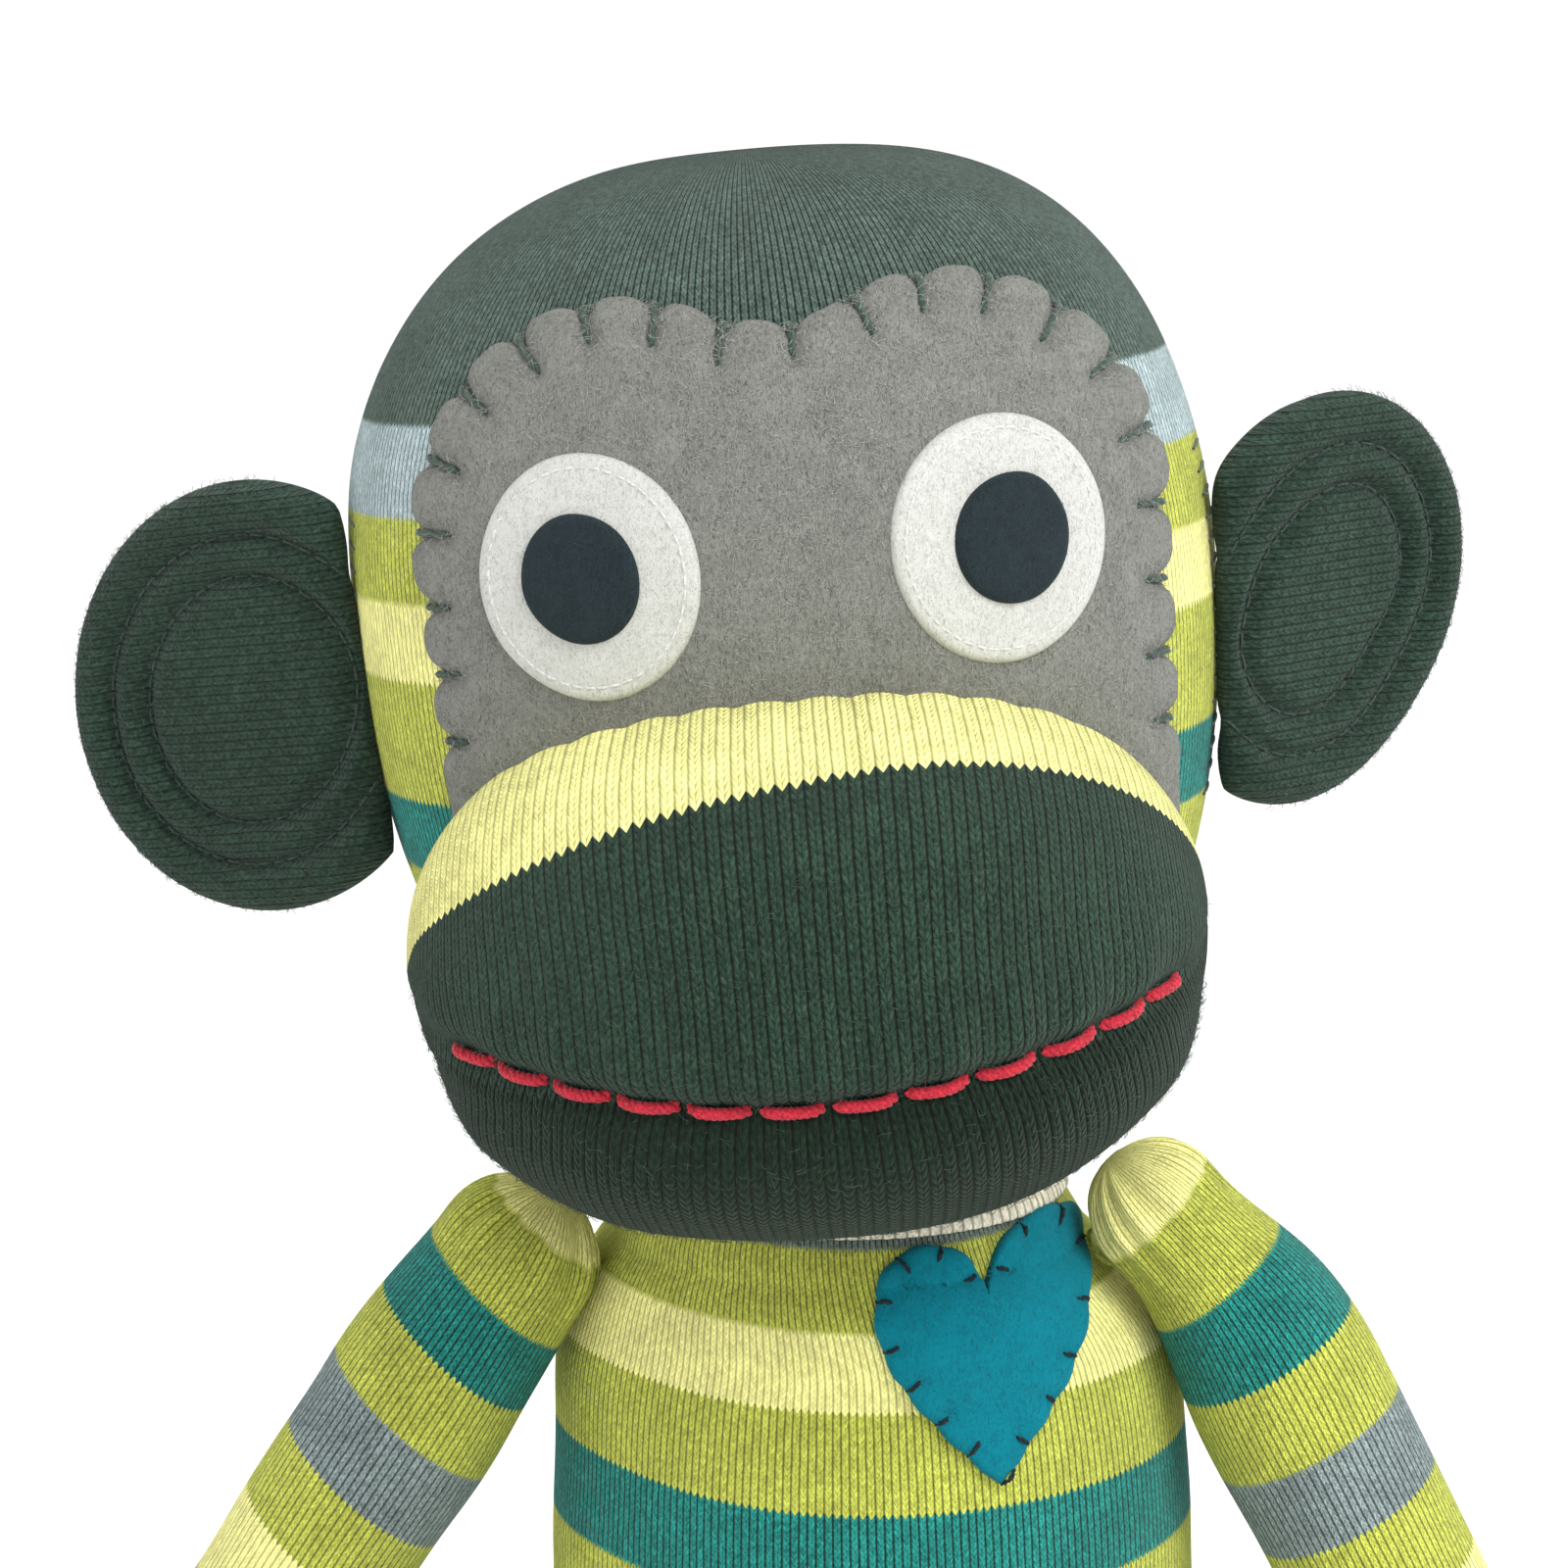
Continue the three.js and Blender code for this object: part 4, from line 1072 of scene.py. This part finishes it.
bodySock = {
    "halfWidth": 47.5, "halfDepth": 40.0, "waist": 75.0, "height": 150.0, "bottom": 80.0, "power": 3.2,
    "leanX": -2.0, "leanHeight": 132.0, "domeRadius": 36.0, "wales": 244, "sidePull": 3.6,
    "shoulderFill": 2.4,
    "bands": [(-99, "lime"), (18, "teal"), (31, "lime"), (44, "straw"), (57, "lime"), (70, "slate"),
              (83, "lime"), (95.5, "teal"), (108.4, "lime"), (121.6, "straw"), (133.4, "lime"),
              (144.5, "steel"), (147, "cream")],
}
neckCentre = jointPlace("neck_turn")


def bodyRadius(height):
    above = height - bodySock["waist"]
    reach = bodySock["height"] - bodySock["waist"] if above > 0 else bodySock["bottom"]
    return rounded(bodySock["halfWidth"], above, reach, bodySock["power"])


def domeRadius(height):
    return math.sqrt(max(0.0, bodySock["domeRadius"] ** 2 - max(0.0, height - neckCentre.z) ** 2))


def wallRadius(height):
    if height > bodySock["height"]:
        return domeRadius(height)
    if height < neckCentre.z - 12:
        return bodyRadius(height)
    return max(bodyRadius(height), domeRadius(height))


def bodyProfile():
    points = [(0.0, 0.0), (bodyRadius(0.0) * 0.9, 0.0), (bodyRadius(0.0) + 0.8, 0.5)]
    top = neckCentre.z + bodySock["domeRadius"] - 0.4
    steps = 220
    for i in range(1, steps + 1):
        height = top * math.sin(i / steps * math.pi / 2)
        if height > 1.0:
            points.append((wallRadius(height), height))
    return ArcProfile(points)


def bodyPoint(radius, height, turn):
    shoulder = smoothStep(height, 126, 146)
    depth = bodySock["halfDepth"] / bodySock["halfWidth"]
    depth += (1 - depth) * smoothStep(height, 120, 143)
    lean = bodySock["leanX"] * (height / bodySock["leanHeight"]) ** 2
    lean += (neckCentre.x - lean) * shoulder
    fill = bodySock["shoulderFill"] * hump(height - 128, 14) * abs(math.cos(turn)) ** 3
    across = lean + (radius + fill) * math.cos(turn)
    return Vector((across, (radius + fill * 0.4) * math.sin(turn) * depth, height))


def buildBodySock():
    profile = bodyProfile()
    courses = toCourses(profile.length)
    material = knitMaterial("body sock knit", bandStarts(bodySock["bands"], profile), courses)

    def place(across, along):
        turn = tau * across + math.pi / 2
        radius, height = profile.at(along)
        point = bodyPoint(radius, height, turn)
        if height > 2:
            swell = 0.55 * lump(point, 24, 11.0)
            point += Vector((math.cos(turn), math.sin(turn), 0)) * swell * smoothStep(height, 2, 14)
        return point

    piece = wrapGrid("body_sock_knit", 240, 170, place, bodySock["wales"], courses, material)
    pullCourses(piece, lambda spot: bodySock["sidePull"] * (spot.x / bodySock["halfWidth"]) ** 2)
    settle(piece, "torso", "striped_knit", "body_sock", "body_filling")


buildBodySock()
print("body sock done")


# a point over the chest at (x, z), lifted off the knit
def chestPoint(x, z, lift=0.0):
    def surface(px, pz):
        radius = wallRadius(pz)
        middle = bodyPoint(radius, pz, math.pi / 2).x
        side = bodyPoint(radius, pz, 0.0).x - middle
        front = -bodyPoint(radius, pz, -math.pi / 2).y
        inside = max(0.0, 1 - ((px - middle) / side) ** 2)
        return Vector((px, -front * math.sqrt(inside), pz))

    step = 0.3
    here = surface(x, z)
    normal = (surface(x + step, z) - surface(x - step, z)).cross(surface(x, z + step) - surface(x, z - step))
    return here + normal.normalized() * lift


# heart

heartPatch = {
    "x": 14.5, "z": 129.4, "width": 30.5, "height": 33.6, "roll": 5.0, "thickness": 1.2, "lift": 0.5,
    "pull": 0.4, "stitches": 17, "stitchLength": 2.6, "stitchWidth": 0.7, "stitchSeat": 0.85,
    "fluff": {"count": 900, "length": 0.9, "thickness": 0.05, "rise": 0.25, "edgeShare": 0.4},
}


def heartOutline():
    w, h = heartPatch["width"] / 2, heartPatch["height"]
    curves = [
        ((0, -0.5), (-0.55, -0.24), (-1, 0.04), (-1, 0.24)),
        ((-1, 0.24), (-1, 0.46), (-0.74, 0.5), (-0.52, 0.5)),
        ((-0.52, 0.5), (-0.26, 0.5), (-0.06, 0.42), (0, 0.27)),
    ]
    left = []
    for p0, p1, p2, p3 in curves:
        for i in range(20):
            t = i / 20
            k = (1 - t) ** 3, 3 * t * (1 - t) ** 2, 3 * t * t * (1 - t), t ** 3
            left.append(Vector((sum(a * p[0] for a, p in zip(k, (p0, p1, p2, p3))) * w,
                                sum(a * p[1] for a, p in zip(k, (p0, p1, p2, p3))) * h)))
    left.append(Vector((0, 0.27 * h)))
    right = [Vector((-p.x, p.y)) for p in reversed(left)]
    spin = Matrix.Rotation(math.radians(heartPatch["roll"]), 2)
    centre = Vector((heartPatch["x"], heartPatch["z"]))
    return [spin @ p + centre for p in left + right[1:]]


def buildHeart():
    outline = heartOutline()
    count = heartPatch["stitches"]
    places = stitchPlaces(outline, count + 1, lambda point: heartPatch["stitchLength"])[:-1]
    middle = Vector((heartPatch["x"], heartPatch["z"] + 2))
    thickness, lift = heartPatch["thickness"], heartPatch["lift"]
    piece = feltPatch("teal_felt_heart", outline, middle, chestPoint, thickness, lift, places,
                      heartPatch["stitchLength"], tealFelt, 260, 30, heartPatch["pull"])
    settle(piece, "torso", "teal_felt", "heart_patch")
    threads = whipStitches("heart_whip_stitches", places, heartPatch["stitchWidth"], chestPoint, thickness,
                           lift, heartPatch["stitchSeat"], inkFelt)
    settle(threads, "torso", "dark_thread", "heart_thread")
    fluff = feltFluff("heart_loose_fibres", outline, middle, chestPoint, lift + thickness,
                      heartPatch["fluff"], tealFluff, 9)
    settle(fluff, "torso", "teal_felt")


buildHeart()
print("heart done")

# neck

neckBand = {"low": 147.0, "high": 151.0, "proud": 1.0, "ribs": 90, "ribHeight": 0.15}
neckThreads = (("neck_gather_thread", 11, "neck_gather"), ("neck_seam_thread", 38, "neck_seam"))


def buildNeck():
    material = knitMaterial("cuff edge knit", [(0, "cream")], 6, 0.7)

    def place(across, along):
        turn = tau * across
        swing = tau * along
        middle = (neckBand["low"] + neckBand["high"]) / 2
        half = (neckBand["high"] - neckBand["low"]) / 2
        height = middle + half * math.sin(swing)
        reach = math.sqrt(bodySock["domeRadius"] ** 2 - (middle - neckCentre.z) ** 2) + 0.9
        radius = reach - (height - middle) * 0.55 + neckBand["proud"] * math.cos(swing)
        radius += neckBand["ribHeight"] * math.cos(neckBand["ribs"] * turn)
        return Vector((neckCentre.x + radius * math.cos(turn), radius * math.sin(turn), height))

    band = wrapGrid("neck_cuff_band", 240, 24, place, 120, 6, material, flip=True)
    settle(band, "head", "cream_knit", "neck_band")
    for node, angle, body in neckThreads:
        reach = bodySock["domeRadius"] + 1.0
        path = []
        for i in range(97):
            turn = tau * i / 96 * 0.995
            radius = reach * math.sin(math.radians(angle)) + 0.25 * math.cos(turn * 24)
            height = reach * math.cos(math.radians(angle))
            path.append(neckCentre + Vector((radius * math.cos(turn), radius * math.sin(turn), height)))
        plies = strandPath(path, 2, 0.2, 40, 200)
        ring = strands(node.replace("thread", "stitching"), plies, 0.45, limeThread, 1)
        settle(ring, body, "sewing_thread", node)


buildNeck()
print("neck done")

# ears

earPad = {
    "reach": 14.0, "tuck": 4.6, "rootRound": 5.0, "rimWidth": 4.2, "half": 4.7, "insets": (7.4, 13.4),
    "rootLean": 3.0, "grooveDepth": 2.2, "grooveWidth": 1.5, "wale": 1.35, "course": 1.1,
    "topstitch": 0.35, "stitchPitch": 2.6,
    "fluff": {"count": 2600, "length": 0.9, "thickness": 0.06, "rise": 0.35},
    "left": {"radius": 28.3, "skew": 3.1, "crest": 2.6, "turn": 39.0},
    "right": {"radius": 31.0, "skew": -1.2, "crest": 0.0, "turn": 27.0},
}


def earMatrix(side, sign):
    joint = joints[f"{side}_ear_fold"]
    up = Vector(joint["axis"])
    if up.z < 0:
        up = -up
    swing = math.radians(earPad[side]["turn"])
    lean = Matrix.Rotation(sign * math.radians(earPad["rootLean"]) - headPlace["roll"], 3, "Y")
    outward = lean @ Vector((sign * math.cos(swing), math.sin(swing), 0))
    outward = (outward - up * outward.dot(up)).normalized()
    front = outward.cross(up) * sign
    basis = Matrix((outward, front, up)).transposed().to_4x4()
    return Matrix.Translation(Vector(joint["pos_m"]) / mm) @ basis


def earRim(side, turn):
    crest = earPad[side]["crest"] * max(0.0, math.sin(turn)) * max(0.0, -math.cos(turn))
    return earPad[side]["radius"] + earPad[side]["skew"] * math.sin(2 * turn) + crest


def earReach(side, turn):
    flat = (earPad["reach"] + earPad["tuck"]) / -math.cos(turn) if math.cos(turn) < -1e-6 else 1e9
    return min(earRim(side, turn), flat)


# half thickness of the ear at a distance inwards from its rim
def earRise(edge):
    rim = earPad["rimWidth"]
    rise = earPad["half"] * math.sqrt(max(0.0, 1 - (1 - min(1.0, edge / rim)) ** 2))
    rise *= 1 - 0.2 * smoothStep(edge, rim, 16)
    for inset in earPad["insets"]:
        rise -= earPad["grooveDepth"] * hump(edge - inset, earPad["grooveWidth"])
    return max(0.0, rise)


def earSurface(side, way, turn, share):
    reach = earReach(side, turn)
    x, z = reach * share * math.cos(turn), reach * share * math.sin(turn)
    edge = earRim(side, turn) - reach * share
    rise = earRise(edge) * (0.8 + 0.2 * smoothStep(x + earPad["reach"], -5, 10))
    rise += 0.35 * lump(Vector((x, z, way * 9)), 9, 2.0) * smoothStep(edge, 0, 3)
    fromRoot = min(1.0, max(0.0, x + earPad["reach"] + earPad["tuck"]) / earPad["rootRound"])
    rise *= math.sqrt(1 - (1 - fromRoot) ** 2)
    return Vector((earPad["reach"] + x, way * max(0.0, rise), z))


def buildEar(side, sign):
    matrix = earMatrix(side, sign)
    inverse = matrix.inverted()
    material = knitMaterial(f"{side} ear knit", [(0, "ear")], 60, 0.8, 0.4, 0.35, 0.5, 0.42)
    for face, way in (("front", 1), ("back", -1)):
        def place(across, along):
            return matrix @ earSurface(side, way, tau * across, 1 - (1 - along) ** 1.6)

        piece = wrapGrid(f"{side}_ear_{face}_knit", 180, 90, place, 1, 1, material, flip=(sign * way < 0))
        layer = piece.data.uv_layers["stitches"].data
        for loop in piece.data.loops:
            local = inverse @ (piece.data.vertices[loop.vertex_index].co / mm)
            layer[loop.index].uv = (local.z / earPad["wale"], local.x / earPad["course"])
        nodes = [f"{side}_ear_{face}"] + ([f"{side}_ear_wadding"] if way > 0 else [])
        settle(piece, f"{side}_ear", "dark_knit", *nodes)
    for label, inset in zip(("outer", "inner"), earPad["insets"]):
        paths = []
        count = round(tau * (earPad[side]["radius"] - inset) / earPad["stitchPitch"])
        for i in range(count):
            points = []
            for k in range(5):
                turn = tau * (i + 0.15 + 0.7 * k / 4) / count
                share = (earRim(side, turn) - inset) / earReach(side, turn)
                if share > 1:
                    break
                lift = Vector((0, 0.12 + 0.18 * math.sin(math.pi * k / 4), 0))
                points.append(matrix @ (earSurface(side, 1, turn, share) + lift))
            if len(points) == 5:
                paths.append(points)
        row = strands(f"{side}_ear_{label}_topstitch", paths, earPad["topstitch"], earThread, 1)
        settle(row, f"{side}_ear", "dark_thread", f"{side}_ear_{label}_stitch")

    def rimPlace(chance):
        turn, share = chance.uniform(-1.9, 1.9), 1 - 0.6 * chance.random() ** 2
        here = earSurface(side, 1, turn, share)
        outward = Vector((math.cos(turn), 0, math.sin(turn)))
        normal = (outward * smoothStep(share, 0.8, 1.0) + Vector((0, 1.0, 0))).normalized()
        return matrix @ here, (matrix.to_3x3() @ normal).normalized()

    fuzz = looseFibres(f"{side}_ear_loose_fibres", rimPlace, earPad["fluff"], darkFluff, 40 + sign)
    settle(fuzz, f"{side}_ear", "dark_knit")


earSeam = {"stitches": 16, "middleZ": -8.5, "halfHeight": 26, "middleY": -11, "thickness": 0.45}


def buildEarSeam(side, sign):
    paths = []
    count = earSeam["stitches"]
    for i in range(count):
        z = earSeam["middleZ"] + earSeam["halfHeight"] * (2 * (i + 0.5) / count - 1)
        radius = headRadius(z)
        points = []
        for k in range(4):
            y = earSeam["middleY"] + (k - 1.5) * 1.4
            x = sign * radius * math.sqrt(1 - (y / (radius * headSock["depthShare"])) ** 2)
            x *= flatShare(x, z)
            points.append(headMatrix @ Vector((x + sign * 0.15 * math.sin(math.pi * k / 3), y, z + k * 0.3)))
        paths.append(points)
    seam = strands(f"{side}_ear_ladder_stitch", paths, earSeam["thickness"], darkThread, 1)
    settle(seam, "head", "dark_thread", f"{side}_ear_seam_thread")


for earSide, earSign in (("left", 1), ("right", -1)):
    buildEar(earSide, earSign)
    buildEarSeam(earSide, earSign)
print("ears done")

# limbs

limbGather = {
    "folds": {"arm": 11, "leg": 13, "tail": 7}, "depth": 0.16, "rootShare": 0.5, "rootPlace": 10, "fade": 9.0,
    "tipShare": 0.3, "tipFolds": 9, "tipFade": 6,
}


class Bend:
    def __init__(self, start, length, directionAt, sideways):
        self.sideways = sideways
        self.length = length
        self.steps = 200
        self.points = [start.copy()]
        self.ahead = []
        for i in range(self.steps):
            direction = directionAt((i + 0.5) / self.steps * length).normalized()
            self.ahead.append(direction)
            self.points.append(self.points[-1] + direction * (length / self.steps))
        self.ahead.append(self.ahead[-1])

    def place(self, run, across, up):
        spot = min(max(run / self.length, 0.0), 1.0) * self.steps
        index = min(int(spot), self.steps - 1)
        ahead = self.ahead[index].lerp(self.ahead[index + 1], spot - index).normalized()
        centre = self.points[index].lerp(self.points[index + 1], spot - index)
        beyond = run - min(max(run, 0.0), self.length)
        sideAxis = ahead.cross(self.sideways).normalized()
        return centre + ahead * beyond + sideAxis * across + sideAxis.cross(ahead) * up


def limbRadius(size, share):
    full = size["radius"] + (size["end"] - size["radius"]) * share
    return size["root"] + (full - size["root"]) * smoothStep(share, 0, size["fullBy"])


def limbProfile(size):
    points = []
    for i in range(25):
        swing = i / 24 * math.pi / 2
        points.append((size["root"] * math.sin(swing), -size["root"] * math.cos(swing)))
    for i in range(1, 80):
        points.append((limbRadius(size, i / 80), size["length"] * i / 80))
    for i in range(24, -1, -1):
        swing = i / 24 * math.pi / 2
        points.append((size["end"] * math.sin(swing), size["length"] + size["end"] * math.cos(swing)))
    return ArcProfile(points)


def buildLimb(name, body, bend, size, bands, pull=None):
    profile = limbProfile(size)
    courses = toCourses(profile.length)
    wales = round(tau * size["radius"] / gauge["wale"])
    material = knitMaterial(f"{name} knit", bandStarts(bands, profile), courses)
    kind = name.split("_")[-1]
    folds = limbGather["folds"][kind]

    def place(across, along):
        turn = tau * across
        reach, run = profile.at(along)
        fromRoot = along * profile.length
        fromEnd = profile.length - fromRoot
        fold = math.cos(folds * turn + 1.3 * math.sin(3 * turn)) - 0.3
        atRoot = hump(fromRoot - limbGather["rootPlace"], limbGather["fade"])
        tipFold = math.cos(limbGather["tipFolds"] * turn)
        gathered = limbGather["rootShare"] * limbGather["depth"] * fold * atRoot
        atTip = hump(fromEnd, limbGather["tipFade"])
        gathered += limbGather["tipShare"] * limbGather["depth"] * tipFold * atTip
        reach *= 1 + gathered
        point = bend.place(run, reach * math.cos(turn), reach * math.sin(turn))
        swell = 0.5 * lump(point, 17, 21.0)
        return point + (point - bend.place(run, 0, 0)).normalized() * swell * min(1.0, reach / 8)

    piece = wrapGrid(f"{name}_sock_knit", 110, 170, place, wales, courses, material)
    if pull:
        pullCourses(piece, pull)
    settle(piece, body, "striped_knit", f"{name}_sock", f"{name}_filling")


gatherKnot = {"reach": 3.0, "taper": 0.25, "turns": 1.9, "length": 0.25, "thickness": 0.4}


# the drawn-up thread between a limb's root and the body
def buildGather(name, body):
    low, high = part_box(f"{name}_gather_thread")
    middle = (low + high) / 2 / mm
    root = jointPlace(f"{name}_swing" if "arm" in name else f"{name}_lift")
    axis = (middle - root).normalized()
    side = axis.orthogonal().normalized()
    other = axis.cross(side)
    points = []
    for i in range(61):
        share = i / 60
        turn = tau * i / 60 * gatherKnot["turns"]
        reach = gatherKnot["reach"] - gatherKnot["taper"] * i / 60
        around = side * math.cos(turn) + other * math.sin(turn)
        points.append(middle + around * reach + axis * gatherKnot["length"] * (share - 0.5))
    plies = strandPath(points, 2, 0.16, 14, 160)
    knot = strands(f"{name}_gathering_thread", plies, gatherKnot["thickness"], limeThread, 1)
    settle(knot, body, "sewing_thread", f"{name}_gather_thread")


armTube = {
    "left": {"radius": 15.2, "root": 9.8, "fullBy": 0.25, "start": 44.0, "hang": 26.9, "bendLength": 36.0,
             "skew": 0.05},
    "right": {"radius": 14.5, "root": 12.3, "fullBy": 0.2, "start": 34.4, "hang": 33.0, "bendLength": 27.0,
              "skew": 0.15},
    "end": 12.5, "length": 138.0,
}
armBands = {
    "left": [(-30, "straw"), (-0.7, "lime"), (12.8, "teal"), (26.2, "lime"), (39.9, "slate"), (52.9, "lime"),
             (65.9, "straw"), (79, "lime"), (92, "teal"), (105, "lime"), (118, "slate"), (131, "moss")],
    "right": [(-30, "straw"), (-8.1, "lime"), (3.9, "teal"), (14.9, "lime"), (25.9, "slate"), (37.9, "lime"),
              (50.9, "straw"), (63.9, "lime"), (76.9, "teal"), (89.9, "lime"), (102.9, "slate"),
              (115.9, "moss")],
}
legTube = {"radius": 17.5, "root": 15.0, "end": 17.0, "length": 178.0, "fullBy": 0.12, "splay": 9.0}
legBands = [(-40, "lime"), (12, "straw"), (25, "lime"), (38, "teal"), (51, "lime"), (64, "slate"),
            (77, "lime"), (90, "straw"), (103, "lime"), (116, "teal"), (129, "lime"), (142, "straw"),
            (150, "moss")]
tailTube = {"radius": 9.0, "root": 9.0, "end": 8.0, "length": 150.0, "fullBy": 1.0, "curl": 100.0,
            "rootHeight": 14.0, "dropShare": 0.125}
tailBands = [(-20, "moss"), (96, "lime"), (109, "teal"), (122, "lime"), (135, "straw")]


def buildArm(side, sign):
    sewn = armTube[side]
    size = {**sewn, "end": armTube["end"], "length": armTube["length"]}

    def direction(run):
        share = smoothStep(run, 0, sewn["bendLength"])
        angle = math.radians(sewn["start"] + (sewn["hang"] - sewn["start"]) * share)
        return Vector((sign * math.sin(angle), 0, -math.cos(angle)))

    root = jointPlace(f"{side}_arm_swing")
    bend = Bend(root, armTube["length"], direction, Vector((0, 1, 0)))
    inner = Vector((-sign * math.cos(math.radians(sewn["hang"])), 0, -math.sin(math.radians(sewn["hang"]))))
    buildLimb(f"{side}_arm", f"{side}_arm", bend, size, armBands[side],
              lambda spot: sewn["skew"] * (spot - root).dot(inner))
    buildGather(f"{side}_arm", f"{side}_arm_gather")


def buildLeg(side, sign):
    splay = math.radians(legTube["splay"])
    fall = (legTube["end"] - legTube["radius"]) / legTube["length"]
    bend = Bend(jointPlace(f"{side}_leg_lift"), legTube["length"],
                lambda run: Vector((sign * math.sin(splay), -math.cos(splay), fall)), Vector((0, 0, 1)))
    buildLimb(f"{side}_leg", f"{side}_leg", bend, legTube, legBands)
    buildGather(f"{side}_leg", f"{side}_leg_gather")


def buildTail():
    drop = tailTube["rootHeight"] - tailTube["radius"]

    def direction(run):
        share = smoothStep(run, 0, tailTube["length"])
        turn = math.radians(tailTube["curl"]) * share
        dropShare = tailTube["dropShare"]
        fall = -drop / (2 * dropShare * tailTube["length"]) if share < dropShare else 0.0
        return Vector((math.sin(turn), math.cos(turn), fall))

    bend = Bend(jointPlace("tail_lift"), tailTube["length"], direction, Vector((0, 0, 1)))
    buildLimb("tail", "tail", bend, tailTube, tailBands)
    buildGather("tail", "tail_gather")


for limbSide, limbSign in (("left", 1), ("right", -1)):
    buildArm(limbSide, limbSign)
    buildLeg(limbSide, limbSign)
buildTail()
print("limbs done")
